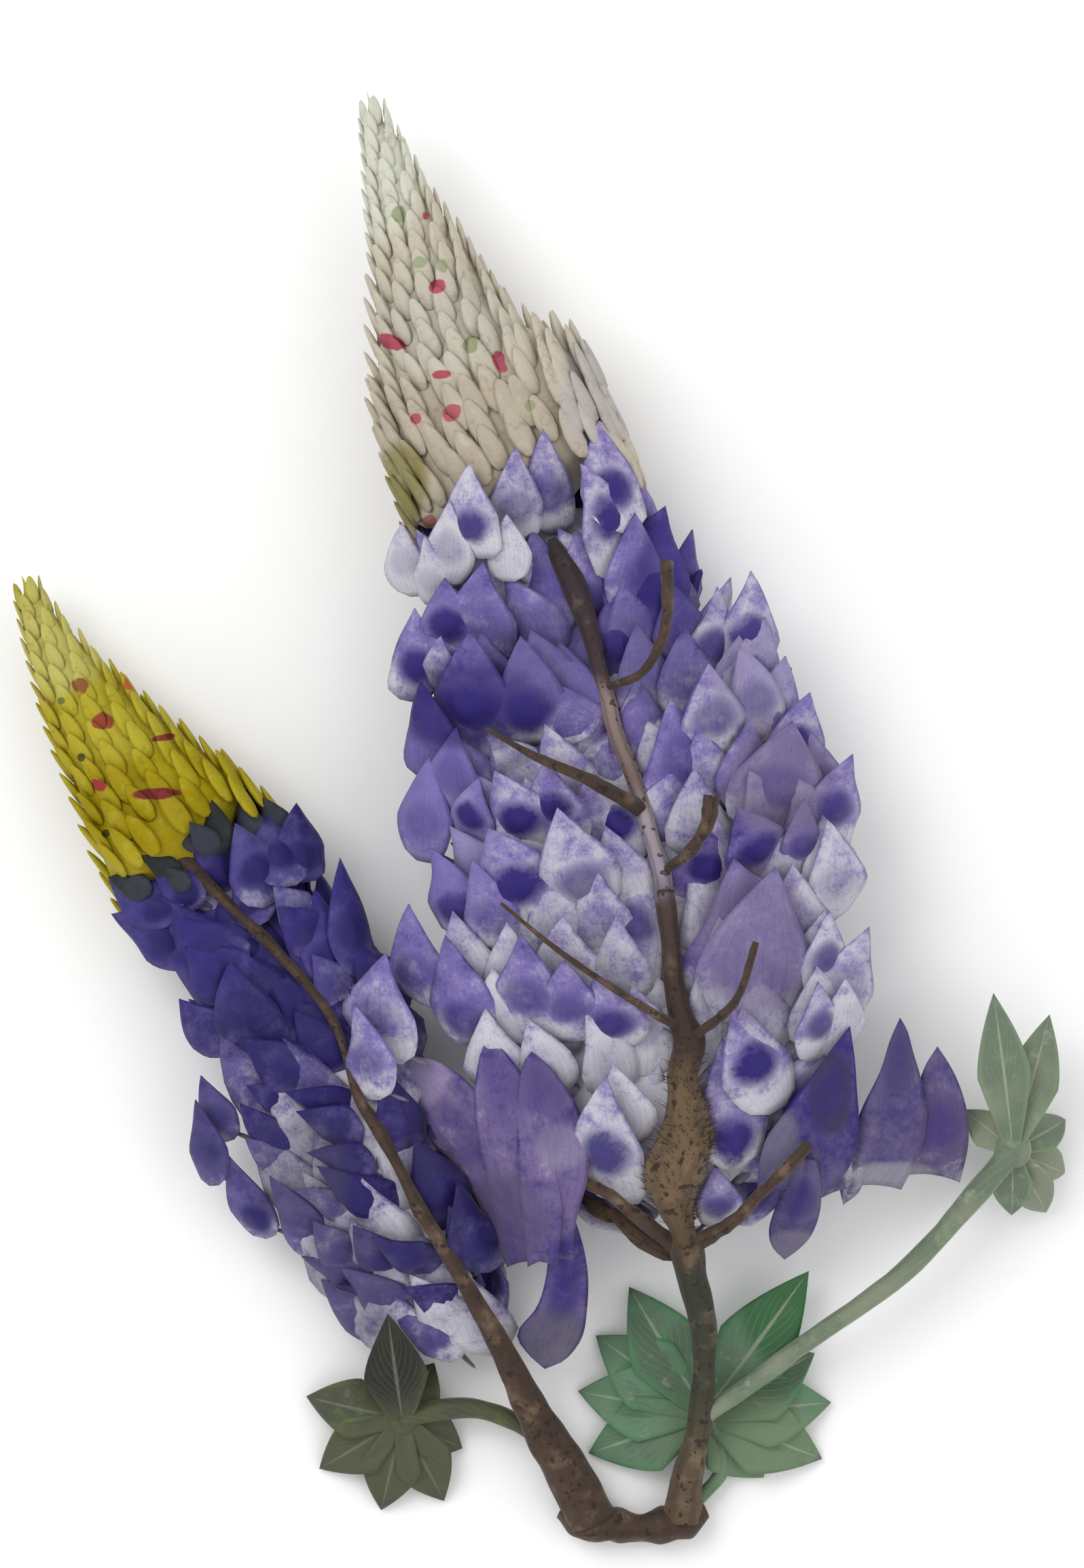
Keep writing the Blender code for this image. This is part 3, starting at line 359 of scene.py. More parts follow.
MARKS = ("tone", "blotch", "place")  # each petal's depth of colour, and its blotch's strength and place
WELD = 0.01  # points nearer than this become one
PETAL_LOW, POD_LOW = 0.35, 0.3  # nothing of a petal or pod lies below these heights
PLAIN_TONE = 0.5  # depth of colour where it does not vary
RING_SIDE = 10  # the rings of florets leave out the front, above this many degrees
INNER_STEP = 10.5  # between the small inner petals, up the head and across it
INNER_SHARE = 0.66  # how far forward they stand, as a share of the head's front
INNER_REACH = 0.86  # how far across they stand, as a share of the head's width
PEDICEL = 8  # a front petal's own stalk, from its foot towards the axis
CLEARANCE = 1.5  # petals stay this far below the stem that passes over them
BRANCH_ABOVE, BRANCH_RISE = 2.6, 13  # a branch's height above the head's front, and the way in which it rises
EDGE_STEPS = 6  # points between two given ones, along a broad petal's edge or a branch
STEM_STEPS = 8  # the same along a stem
BRACT_WALL = 0.0005
FLOOR_HALF = 4  # metres
BANDS_LOW, BANDS_HIGH = -15.0, 215.0  # heights between which the main stem's bands of colour are spread
HAIRY = (54, 100, 74)  # the hairs' lowest and highest place, and where they are thickest
SENSOR = 36.0  # the camera's, in its usual millimetres
FOCUS = 0.025  # height above the floor at which the picture has its true size, in metres
PHOTO_CENTRE = (0.00075, 0.00875)  # the middle of the photograph on the plant, in metres


def colour_setting(name, description, colour):
    return bpy.props.FloatVectorProperty(
        name=name, description=description, subtype="COLOR_GAMMA", default=colour
    )


def length_setting(name, description, length):
    return bpy.props.FloatProperty(name=name, description=description, default=length, unit="LENGTH")


def count_setting(name, description, count):
    return bpy.props.IntProperty(name=name, description=description, default=count)


class PetalSettings(bpy.types.PropertyGroup):
    """Sizes and colours of the petals."""

    length: length_setting("Length", "Length of a floret", 0.023)
    thickness: length_setting("Thickness", "Petal thickness", 0.0004)
    pale: colour_setting("Pale", "Petal feet and inner florets", (0.76, 0.75, 0.79))
    violet: colour_setting("Violet", "Main spike's petals", (0.45, 0.40, 0.64))
    dusk: colour_setting("Dusk", "Side spike's petals", (0.35, 0.32, 0.53))
    mauve: colour_setting("Mauve", "Low left bloom", (0.43, 0.37, 0.54))
    plum: colour_setting("Plum", "Low right bloom", (0.36, 0.32, 0.46))
    indigo: colour_setting("Indigo", "Dark blotches and keels", (0.14, 0.08, 0.41))


class BudSettings(bpy.types.PropertyGroup):
    """Sizes and colours of the closed buds."""

    cream: colour_setting("Cream", "Main spike's buds", (0.73, 0.70, 0.63))
    yellow: colour_setting("Yellow", "Side spike's buds", (0.64, 0.58, 0.12))
    main_rows: count_setting("Main rows", "Rings of buds on the main tip", 21)
    side_rows: count_setting("Side rows", "Rings of buds on the side tip", 15)


class StemSettings(bpy.types.PropertyGroup):
    """Hairs and colours of the stems."""

    hairs: count_setting("Hairs", "Hairs on the swelling", 420)
    hair_length: length_setting("Hair length", "Length of a hair", 0.003)
    brown: colour_setting("Brown", "Side stem, crown and branches", (0.22, 0.165, 0.13))


class LeafSettings(bpy.types.PropertyGroup):
    """Sizes and colours of the leaves."""

    thickness: length_setting("Thickness", "Leaf thickness", 0.0005)
    olive: colour_setting("Olive", "Left leaf", (0.28, 0.30, 0.19))
    emerald: colour_setting("Emerald", "Centre leaf", (0.36, 0.48, 0.38))
    sage: colour_setting("Sage", "Right leaf", (0.48, 0.51, 0.43))


class StageSettings(bpy.types.PropertyGroup):
    """The floor, the light and the camera."""

    height: length_setting("Height", "Camera above the floor", 1.6)
    frame_height: length_setting("Frame", "Height of the picture on the plant", 0.34635)
    floor: colour_setting("Floor", "Floor colour", (0.97, 0.97, 0.97))


def linear(colour):
    """A colour as seen, from 0 to 1 or 0 to 255, as shader values."""
    scale = 255 if max(colour) > 1 else 1
    shares = [value / scale for value in colour]
    bright = [share / 12.92 if share < 0.04045 else ((share + 0.055) / 1.055) ** 2.4 for share in shares]
    return (*bright, 1.0)


class Socket:
    """A shader value. An operator on it adds its Math node."""

    def __init__(self, surface, output):
        self.surface, self.output = surface, output

    def join(self, operation, first, second=0.0):
        made = self.surface.node("ShaderNodeMath", {"operation": operation}, {0: first, 1: second})
        return Socket(self.surface, made.outputs[0])

    def __add__(self, other):
        return self.join("ADD", self, other)

    def __sub__(self, other):
        return self.join("SUBTRACT", self, other)

    def __rsub__(self, other):
        return self.join("SUBTRACT", other, self)

    def __mul__(self, other):
        return self.join("MULTIPLY", self, other)

    def __truediv__(self, other):
        return self.join("DIVIDE", self, other)

    def __abs__(self):
        return self.join("ABSOLUTE", self)

    def sine(self):
        return self.join("SINE", self)

    __radd__, __rmul__ = __add__, __mul__


class Surface:
    """A material under construction, and the colour laid on it so far. A plain colour is given as seen."""

    def __init__(self, name, roughness, sheen=0.0, gloss=0.3):
        self.material = bpy.data.materials.new(name)
        self.material.use_nodes = True
        self.tree = self.material.node_tree
        self.shader = self.tree.nodes["Principled BSDF"]
        finish = {"Roughness": roughness, "Specular IOR Level": gloss, "Sheen Weight": sheen}
        for socket, value in finish.items():
            self.shader.inputs[socket].default_value = value
        place = self.node("ShaderNodeTexCoord")
        self.spot = Socket(self, place.outputs["Object"])
        x, y, z = self.split(self.spot)
        self.x, self.y, self.z = x * 1000 + ORIGIN.x, y * 1000 + ORIGIN.y, z * 1000
        self.u, self.v, _ = self.split(Socket(self, place.outputs["UV"]))
        marks = [self.node("ShaderNodeAttribute", {"attribute_name": name}) for name in MARKS]
        self.tone, self.blotch, self.place = (Socket(self, mark.outputs["Fac"]) for mark in marks)

    def node(self, kind, settings=(), sockets=()):
        made = self.tree.nodes.new(kind)
        for name, value in dict(settings).items():
            if name == "stops":
                ramp = made.color_ramp
                while len(ramp.elements) < len(value):
                    ramp.elements.new(1.0)
                for element, (at, colour) in zip(ramp.elements, value):
                    element.position, element.color = at, colour
            else:
                setattr(made, name, value)
        for name, value in dict(sockets).items():
            if isinstance(value, Socket):
                self.tree.links.new(value.output, made.inputs[name])
            else:
                made.inputs[name].default_value = value
        return made

    def split(self, vector):
        return [Socket(self, part) for part in self.node("ShaderNodeSeparateXYZ", {}, {0: vector}).outputs]

    def noise(self, scale, detail=2.0, roughness=0.55):
        """Noise around 0.5, in marks for each metre."""
        sockets = {"Vector": self.spot, "Scale": scale, "Detail": detail, "Roughness": roughness}
        return Socket(self, self.node("ShaderNodeTexNoise", {}, sockets).outputs[0])

    def ease(self, value, start, end):
        """0 at start and 1 at end, eased between them."""
        sockets = {0: value, 1: start, 2: end, 3: 0.0, 4: 1.0}
        made = self.node("ShaderNodeMapRange", {"interpolation_type": "SMOOTHSTEP"}, sockets)
        return Socket(self, made.outputs[0])

    def mix(self, share, first, second):
        first, second = (tint if isinstance(tint, Socket) else linear(tint) for tint in (first, second))
        made = self.node("ShaderNodeMix", {"data_type": "RGBA"}, {0: share, 6: first, 7: second})
        return Socket(self, made.outputs[2])

    def lay(self, share, tint):
        """A share of a tint over the colour so far."""
        self.colour = self.mix(share, self.colour, tint)

    def washes(self, washes, cloud, share=None, soft=0.9):
        """Soft-edged patches of colour, one over another, laid on the colour so far in full or by a share."""
        before = self.colour
        for (x, y), (across, along), tint in washes:
            right, up = (self.x - x) / across, (self.y - y) / along
            far = right * right + up * up + (cloud - 0.5) * soft
            self.lay(self.ease(far, 1.35, 0.45), tint)
        if washes and share is not None:
            self.colour = self.mix(share, before, self.colour)

    def flecks(self, flecks, cloud, front):
        """Small crisp flecks with uneven edges, on the front only."""
        front = self.ease(self.z, *front) * 0.92
        for (x, y), (across, along), turn, tint in flecks:
            cos, sin = math.cos(math.radians(turn)), math.sin(math.radians(turn))
            right, up = self.x - x, self.y - y
            first, second = (right * cos + up * sin) / across, (up * cos - right * sin) / along
            far = first * first + second * second + (cloud - 0.5) * 1.6
            self.lay(self.ease(far, 1.25, 0.75) * front, tint)

    def finish(self, height=None, strength=0.3, distance=0.0003):
        self.tree.links.new(self.colour.output, self.shader.inputs["Base Color"])
        if height is not None:
            sockets = {"Height": height, "Strength": strength, "Distance": distance}
            bump = self.node("ShaderNodeBump", {}, sockets)
            self.tree.links.new(bump.outputs[0], self.shader.inputs["Normal"])
        return self.material


def petal_material(name, base, settings, washes=(), share=1.0, fade=0.36, deep=None):
    """Petal: watery pigment, pale at the foot, pooled at tip and rim, with a dark blotch, grit and veins."""
    s = Surface(name, 0.6, sheen=0.08)
    cloud, wet, grain = s.noise(60, 3), s.noise(210, 4, 0.65), s.noise(1150, 2, 0.7)
    deep = deep or settings.indigo
    depth = s.tone + (wet - 0.5) * 0.95 + (cloud - 0.5) * 0.35 + (grain - 0.5) * 0.25
    depth = depth - s.ease(s.v + (wet - 0.5) * 0.3, 0.42, 0.0) * fade + s.ease(s.v, 0.55, 1.0) * 0.1
    depth = depth + s.ease(abs(s.u - 0.5), 0.43, 0.5) * s.ease(s.v, 0.3, 0.6) * 0.2
    s.colour = s.mix(s.ease(depth, 0.0, 0.5), settings.pale, base)
    s.lay(s.ease(depth, 0.42, 0.98), deep)
    s.washes(washes, cloud, share)
    right, up = (s.u - 0.5) / 0.36, (s.v - s.place) / 0.2
    blot = s.ease(right * right + up * up + (wet - 0.5) * 2.0 + (grain - 0.5) * 0.6, 1.5, 0.15)
    s.lay(blot * s.blotch * 1.04, deep)
    grit = s.ease(s.noise(2300, 1) + (wet - 0.5) * 0.5, 0.6, 0.76)
    s.lay(grit * 0.3, deep)
    veins = s.ease(((s.u - 0.5) * 60 + (wet - 0.5) * 5).sine(), 0.6, 1.0)
    s.lay(veins * 0.08, deep)
    return s.finish(veins * 0.4 + grain * 0.6)


def pod_material(name, dark, light):
    """Keel or calyx: dark towards its tip and paler at its foot."""
    s = Surface(name, 0.5, sheen=0.15)
    wet, grain = s.noise(220, 3), s.noise(1200, 2)
    s.colour = s.mix(s.ease(s.v + (wet - 0.5) * 0.5 + (s.tone - 0.5) * 0.3, 0.1, 0.75), light, dark)
    return s.finish(grain, 0.2, 0.0002)


def sepal_material():
    """Sepal: slate grey to black-green, darker towards its tip."""
    s = Surface("sepal", 0.6, sheen=0.08)
    wet, grain = s.noise(240, 4, 0.65), s.noise(1200, 2)
    depth = s.tone + s.ease(s.v, 0.2, 0.9) * 0.3 + (wet - 0.5) * 0.8
    s.colour = s.mix(s.ease(depth, 0.4, 1.2), (50, 54, 68), (20, 25, 26))
    return s.finish(grain, 0.25)


def bud_material(name, base, washes, flecks, front, dark, light):
    """Closed bud: a mottled wash over all the buds, faint seams and crisp flecks."""
    s = Surface(name, 0.6, gloss=0.12)
    cloud, wet, grain = s.noise(60, 3), s.noise(260, 4, 0.65), s.noise(1000, 2, 0.7)
    s.colour = base
    s.washes(washes, cloud, soft=0.6)
    s.lay(s.ease(s.tone, 0.5, 1.0) * 0.1, light)
    s.lay(s.ease(s.tone, 0.5, 0.0) * 0.09, dark)
    s.lay(s.ease(s.v + (wet - 0.5) * 0.4, 0.4, 0.0) * 0.15, dark)
    s.lay(s.ease(wet, 0.52, 0.75) * 0.35, light)
    s.lay(s.ease(wet + (grain - 0.5) * 0.6, 0.46, 0.26) * 0.45, dark)
    seam = s.ease((s.u * 25.13 + wet).sine(), 0.6, 1.0)
    s.lay(seam * 0.08, dark)
    s.flecks(flecks, s.noise(420, 2), front)
    return s.finish(seam * 0.3 + grain * 0.7)


def stem_material(name, bands, base, streaks):
    """Stem: bands of brown up its length, or one brown, with streaks along it and small dark pores."""
    s = Surface(name, 0.75, sheen=0.1)
    wet, grain, pores = s.noise(160, 4, 0.6), s.noise(1400, 3), s.noise(520, 1)
    if bands:
        span = BANDS_HIGH - BANDS_LOW
        stops = [((at - BANDS_LOW) / span, linear(tint)) for at, tint in bands]
        along = (s.y - BANDS_LOW) / span + (wet - 0.5) * 0.03
        s.colour = Socket(s, s.node("ShaderNodeValToRGB", {"stops": stops}, {0: along}).outputs[0])
    else:
        s.colour = s.mix(s.ease(wet, 0.3, 0.7), base, [min(1, c * 1.35) for c in base])
    lines = s.ease((s.u * streaks * 6.283 + wet * 6).sine(), 0.1, 1.0)
    s.lay(lines * 0.28, (40, 28, 24))
    s.lay(s.ease(wet, 0.52, 0.78) * 0.45, (138, 118, 96))
    s.lay(s.ease(pores, 0.62, 0.67) * 0.8, (34, 24, 20))
    return s.finish(lines * 0.5 + grain * 0.5, 0.5, 0.0006)


def leaf_material(name, base, dark, bright, paper, washes):
    """Leaf: pale midrib and side veins on pooled greens, with a bright rim."""
    s = Surface(name, 0.58, sheen=0.12)
    cloud, wet, grain = s.noise(70, 3), s.noise(190, 4, 0.65), s.noise(1100, 2)
    side = abs(s.u - 0.5)
    s.colour = s.mix(s.ease(cloud + (s.tone - 0.5) * 0.5, 0.36, 0.64), base, dark)
    s.lay(s.ease(wet, 0.5, 0.72) * 0.6, bright)
    s.lay(s.ease(side, 0.36, 0.5) * 0.55, bright)
    s.lay(s.ease(wet, 0.4, 0.28) * 0.5, paper)
    s.washes(washes, cloud, 0.8)
    rib = s.ease(side, 0.045, 0.012)
    veins = s.ease((s.v * 62 - side * 60).sine(), 0.75, 1.0) * s.ease(side, 0.5, 0.3)
    s.lay(rib * 0.6 + veins * 0.22, paper)
    return s.finish(veins * 0.5 - rib * 0.6 + grain * 0.4, 0.45, 0.0005)


def column(table, index, y, heights=0):
    """A value of a table turned on its side, read between its rows at height y."""
    return float(np.interp(y, table[heights], table[index]))


def read(rows, y):
    """A value between rows of a height and a value."""
    return float(np.interp(y, *zip(*rows)))


class Spike:
    """A flower head round its axis, with its stem in front. Its heart lies the drop below the axis."""

    def __init__(self, axis, reach, stem, drop):
        self.axis, self.reach, self.stem = (np.array(rows, float).T.copy() for rows in (axis, reach, stem))
        self.drop = Vector((0, 0, drop))

    def centre(self, y):
        return Vector((column(self.axis, 1, y), y, column(self.axis, 2, y)))

    def offset(self, y, angle, share=(1, 1)):
        """From the axis to the head's outer surface, or a share of it, at an angle from its right side."""
        along = (self.centre(y + 4) - self.centre(y - 4)).normalized()
        right = along.cross(Vector((0, 0, 1))).normalized()
        front = right.cross(along)
        across = column(self.reach, 2 if math.cos(angle) > 0 else 1, y)
        deep = column(self.reach, 3 if math.sin(angle) > 0 else 4, y)
        return right * math.cos(angle) * across * share[0] + front * math.sin(angle) * deep * share[1]

    def front(self, x, y, half_width, share):
        """Height of the head's front, kept below the stem where it passes over, and rising past its end."""
        centre = self.centre(y)
        across = min(0.97, abs(x - centre.x) / column(self.reach, 2 if x > centre.x else 1, y))
        height = centre.z + column(self.reach, 3, y) * math.sqrt(1 - across**2) * share
        away = max(0.0, abs(x - column(self.stem, 0, y, 1)) - half_width * 0.75)
        away += max(0.0, y - self.stem[1][-1]) * 0.8
        under = column(self.stem, 2, y, 1) - column(self.stem, 3, y, 1)
        return min(height, under - CLEARANCE + away * 1.1)


MAIN = Spike(MAIN_AXIS, MAIN_REACH, MAIN_STEM, 3.5)
SIDE = Spike(SIDE_AXIS, SIDE_REACH, SIDE_STEM, 1.5)

# Each head's rings of florets (lowest, highest and spacing), the florets' length and number at several
# heights, their depth of colour and reach, the span of the inner petals with their depth, the front petals
# and the height at which these start to stand clear of the buds, and the heart's span.
HEADS = {
    "main": {
        "rings": (60, 211, 12.0), "lengths": [(60, 1.04), (120, 1.04), (170, 0.96), (213, 0.8)],
        "counts": [(60, 11), (120, 13), (213, 12)], "depths": [(60, 0.4)], "share": 0.9, "inner": (76, 216),
        "inner_depths": [(60, 0.05), (120, 0.1), (166, 0.16), (176, 0.42), (206, 0.42), (214, 0.16)],
        "petals": MAIN_PETALS, "clear": 206, "heart": (60, 219),
    },
    "side": {
        "rings": (38, 132, 10.0), "lengths": [(38, 0.9), (90, 0.84), (134, 0.7)],
        "counts": [(38, 10), (134, 11)], "depths": [(40, 0.5), (90, 0.6), (110, 0.8), (140, 0.8)],
        "share": 0.86, "inner": (50, 140),
        "inner_depths": [(40, 0.1), (95, 0.15), (105, 0.45), (115, 0.8), (140, 0.8)],
        "petals": SIDE_PETALS, "clear": 138, "heart": (44, 143),
    },
}


def smooth_route(points, steps):
    """A Catmull-Rom curve through the points, all their values eased alike."""
    rows = [np.array(p, float) for p in points]
    rows = [2 * rows[0] - rows[1], *rows, 2 * rows[-1] - rows[-2]]
    made = []
    for a, b, c, d in zip(rows, rows[1:], rows[2:], rows[3:]):
        for t in np.arange(steps) / steps:
            square, cube = 2 * a - 5 * b + 4 * c - d, 3 * b - a - 3 * c + d
            made.append(0.5 * (2 * b + (c - a) * t + square * t**2 + cube * t**3))
    return [*made, rows[-2]]


def branch_route(points, start, end):
    """A flower branch: from the main stem up onto the front of the head."""
    route = []
    for k, (x, y) in enumerate(points):
        centre = MAIN.centre(y)
        share = min(0.95, abs(x - centre.x) / column(MAIN.reach, 2 if x > centre.x else 1, y))
        front = centre.z + column(MAIN.reach, 3, y) * math.sqrt(1 - share**2) + BRANCH_ABOVE
        on_stem = column(MAIN.stem, 2, y, 1)
        eased = min(1, abs(x - centre.x) / BRANCH_RISE) if k else 0
        part = k / (len(points) - 1)
        route.append((x, y, on_stem + (front - on_stem) * eased, start + (end - start) * part))
    return route


def petal_outline(v):
    """Half width along a petal, as a share of its widest: a round foot and a long pointed tip."""
    foot = math.sqrt(1 - (1 - min(1, v / 0.42)) ** 2)
    return (0.26 + 0.74 * foot) * (1 - max(0.0, (v - 0.42) / 0.58) ** 1.22)


def leaflet_outline(v):
    """Half width along a leaflet: narrow at its foot, widest past its middle, then pointed."""
    return (0.16 + 0.84 * min(1, v / 0.5) ** 0.9) * (1 - max(0.0, (v - 0.5) / 0.5) ** 1.5)


def new_mesh():
    made = bmesh.new()
    made.loops.layers.uv.new("UVMap")
    for name in MARKS:
        made.verts.layers.float.new(name)
    return made


def grid(made, columns, rows, marks):
    """A grid's points, each with its place across, from -1 to 1, and along, from 0 to 1."""
    verts = bmesh.ops.create_grid(made, x_segments=columns, y_segments=rows, size=1, calc_uvs=True)["verts"]
    set_marks(made, verts, marks)
    return [(vert, vert.co.x, (vert.co.y + 1) / 2) for vert in verts]


def set_marks(made, verts, marks):
    for name, mark in zip(MARKS, marks):
        layer = made.verts.layers.float[name]
        for vert in verts:
            vert[layer] = mark


class Piece:
    """A piece under construction, which stands for a node of the frame."""

    def __init__(self, name, node, slot, look, thickness=0.0):
        self.name, self.node, self.slot, self.look, self.thickness = name, node, slot, look, thickness
        self.made = new_mesh()

    def add(self, part, points=()):
        """Adds a part, shaped in a small mesh of its own for speed. A grid's last row becomes one point."""
        bmesh.ops.remove_doubles(part, verts=[vert for vert, _, v in points if v > 0.999], dist=WELD)
        mesh = bpy.data.meshes.new("part")
        part.to_mesh(mesh)
        part.free()
        self.made.from_mesh(mesh)
        bpy.data.meshes.remove(mesh)

    def petal(self, base, tip, facing, half_width, marks, bulge=0.1, cup=0.25, fold=0.0, wave=0.0, phase=0.0,
              columns=4, rows=7, outline=petal_outline, keel=0.0, lean=0.0):
        """A pointed petal from base to tip: a grid shaped by its outline, bent, cupped and keeled.

        The lean swings its middle to one side, so that its two edges differ.
        """
        base, tip = Vector(base), Vector(tip)
        length = (tip - base).length
        along = (tip - base) / length
        across = along.cross(Vector(facing)).normalized()
        normal = across.cross(along)
        part = new_mesh()
        points = grid(part, columns, rows, marks)
        for vert, u, v in points:
            wide = u * half_width * outline(v) * (1 + abs(lean) * 0.2 * math.sin(v * 9 + phase + u))
            wide += lean * half_width * math.sin(math.pi * v)
            lift = bulge * length * 4 * v * (1 - v) - cup * half_width * u * u * math.sin(math.pi * v)
            lift += fold * half_width * abs(u) * outline(v)
            lift += wave * u * abs(u) * math.sin(v * 11 + phase + (1.7 if u < 0 else 0)) * outline(v)
            lift += keel * math.exp(-((u / 0.4) ** 2) - ((v - marks[2]) / 0.17) ** 2)
            vert.co = base + along * length * v + across * wide + normal * lift
            vert.co.z = max(vert.co.z, PETAL_LOW)
        self.add(part, points)

    def lobe(self, left, right, marks, phase):
        """A broad petal between two edges, each given from foot to tip, with a rounded foot."""
        edges = [np.array(smooth_route(edge, EDGE_STEPS)) for edge in (left, right)]
        lengths = [np.append(0, np.cumsum(np.linalg.norm(np.diff(edge, axis=0), axis=1))) for edge in edges]
        part = new_mesh()
        points = grid(part, 14, 22, marks)
        for vert, u, v in points:
            u = (u + 1) / 2
            first, last = (
                Vector([np.interp(v * along[-1], along, edge[:, k]) for k in range(3)])
                for edge, along in zip(edges, lengths)
            )
            crown = math.sin(math.pi * min(1.0, v + 0.15)) * 4 * u * (1 - u)
            vert.co = first.lerp(last, u)
            vert.co += (last - first).cross(Vector((0, 0, 0.3))) * max(0, 0.2 - v) * (8 * u * (u - 1) + 1)
            vert.co.z += 2.0 * crown + 0.5 * math.sin(u * 13 + v * 5 + phase) * crown
        self.add(part, points)

    def pod(self, middle, along, facing, length, width, depth, tone, sides=6, rings=5, taper=0.3, hook=0.0):
        """A closed pod or bud: full near its foot and pointed at its tip."""
        along = Vector(along).normalized()
        across = along.cross(Vector(facing)).normalized()
        front = across.cross(along)
        part = new_mesh()
        ball = bmesh.ops.create_uvsphere(part, u_segments=sides, v_segments=rings, radius=1, calc_uvs=True)
        set_marks(part, ball["verts"], (tone,))
        for vert in ball["verts"]:
            x, y, z = vert.co
            slim = 1 - taper * (z + 1) / 2
            wide = x * slim * width / 2
            bent = y * slim * depth / 2 + hook * depth * z * z
            vert.co = Vector(middle) + across * wide + front * bent + along * (z * length / 2)
            vert.co.z = max(vert.co.z, POD_LOW)
        self.add(part)

    def tube(self, route, steps, sides, lumps, lump_size=6.0):
        """A round stem along a route of x, y, z and radius: a rolled grid, closed at both ends."""
        rows = smooth_route(route, steps)
        rows = [[*rows[0][:3], 0.0], *rows, [*rows[-1][:3], 0.0]]
        last = len(rows) - 1
        points = grid(self.made, sides, last, (PLAIN_TONE,))
        for vert, u, v in points:
            angle, k = math.pi * (u + 1), round(v * last)
            centre = Vector(rows[k][:3])
            along = (Vector(rows[min(k + 1, last)][:3]) - Vector(rows[max(k - 1, 0)][:3])).normalized()
            across = along.cross(Vector((0, 0, 1))).normalized()
            out = across * math.cos(angle) + across.cross(along) * math.sin(angle)
            radius = rows[k][3]
            radius *= 1 + lumps * ripple_field.noise((centre + out * radius) / lump_size)
            vert.co = centre + out * radius
            vert.co.z = max(vert.co.z, 0.0)
        bmesh.ops.remove_doubles(self.made, verts=[vert for vert, _, _ in points], dist=WELD)

    def heart(self, spike, low, high, share, drop, ends, lumps):
        """The crowded inside of a head: a rolled grid round the axis, closed at both ends and lumpy."""
        points = grid(self.made, 30, 36, (PLAIN_TONE,))
        for vert, u, part in points:
            angle = math.pi * (u + 1)
            end = np.interp(part, [0, 0.04, 0.12, 0.9, 0.97, 1], [0, ends[0], 1, 1, ends[1], 0])
            y = low + (high - low) * part
            out = spike.offset(y, angle, share) * end
            centre = spike.centre(y) - drop
            lump = lumps * (ripple_field.noise((centre + out) / 4.5) + 0.5) * (1 if end > 0 else 0)
            vert.co = centre + out - out.normalized() * lump
        bmesh.ops.remove_doubles(self.made, verts=[vert for vert, _, _ in points], dist=WELD)

    def finish(self):
        """Brings the piece to metres, gives it its wall, shades it smooth and ties it to the frame."""
        made = self.made
        bmesh.ops.transform(made, matrix=Matrix.Scale(MM, 4) @ Matrix.Translation(-ORIGIN), verts=made.verts)
        bmesh.ops.recalc_face_normals(made, faces=made.faces)
        mesh = bpy.data.meshes.new(self.name)
        made.to_mesh(mesh)
        made.free()
        mesh.materials.append(self.look)
        mesh.shade_smooth()
        piece = bpy.data.objects.new(self.name, mesh)
        bpy.context.scene.collection.objects.link(piece)
        if self.thickness:
            wall = piece.modifiers.new("wall", "SOLIDIFY")
            wall.thickness, wall.offset = self.thickness, 0.0
        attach(piece, "root")
        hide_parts(self.node)


def whorls(low, high, spacing, lengths, counts, rng):
    """Places of a spike's florets: rings round the axis, each turned half a place against the last."""
    places = []
    count = int(round((high - low) / spacing)) + 1
    for k in range(count):
        y = low + (high - low) * k / (count - 1)
        length, around = read(lengths, y), int(round(read(counts, y)))
        for j in range(around):
            angle = math.radians(360 / around * (j + 0.5 * (k % 2)) - 90 + rng.uniform(-5, 5))
            place = (y + rng.uniform(-2.2, 2.2), angle, length * rng.uniform(0.88, 1.1))
            if math.degrees(math.asin(math.sin(angle))) < RING_SIDE:
                places.append(place)
    return places


def add_florets(banners, keels, calyces, spike, places, depths, share, rng):
    """Pea flowers: each a pointed banner petal, the keel in front of it and a calyx at its foot."""
    for y, angle, length in places:
        foot = spike.offset(y, angle, FOOT) * share - spike.drop
        out = spike.offset(y + length * 0.7, angle) * share
        rise = math.sqrt(max(length**2 - (out.length - foot.length) ** 2, (0.8 * length) ** 2))
        base = spike.centre(y) + foot
        tip = spike.centre(y + rise) + spike.offset(y + rise, angle) * share
        tip += (tip - base) * rng.uniform(-0.08, 0.04)
        up = 1 if math.sin(angle) > -0.2 else -1
        turned = Vector((rng.uniform(-0.25, 0.25), rng.uniform(-0.1, 0.1), 0.75 * up))
        facing = out.normalized() * 0.8 + turned
        width = length * rng.uniform(0.27, 0.33)
        tone = read(depths, y) + rng.uniform(-0.15, 0.15)
        marks = (tone, 0.8 * rng.uniform(0.5, 1.1), rng.uniform(0.35, 0.5))
        banners.petal(base, tip, facing, width, marks, cup=0.3, wave=0.5, phase=rng.uniform(0, 6),
                      lean=rng.uniform(-0.3, 0.3))
        along = (tip - base).normalized()
        square = (facing - along * facing.dot(along)).normalized()
        size = length * rng.uniform(0.4, 0.5)
        middle = base + (tip - base) * 0.43 + square * length * 0.14
        keels.pod(middle, along + square * 0.2, facing, size, size * 0.42, size * 0.44, tone, hook=0.25)
        wide = length * 0.14
        calyces.pod(base + (tip - base) * 0.06, along, facing, length * 0.3, wide, wide, tone, rings=4)


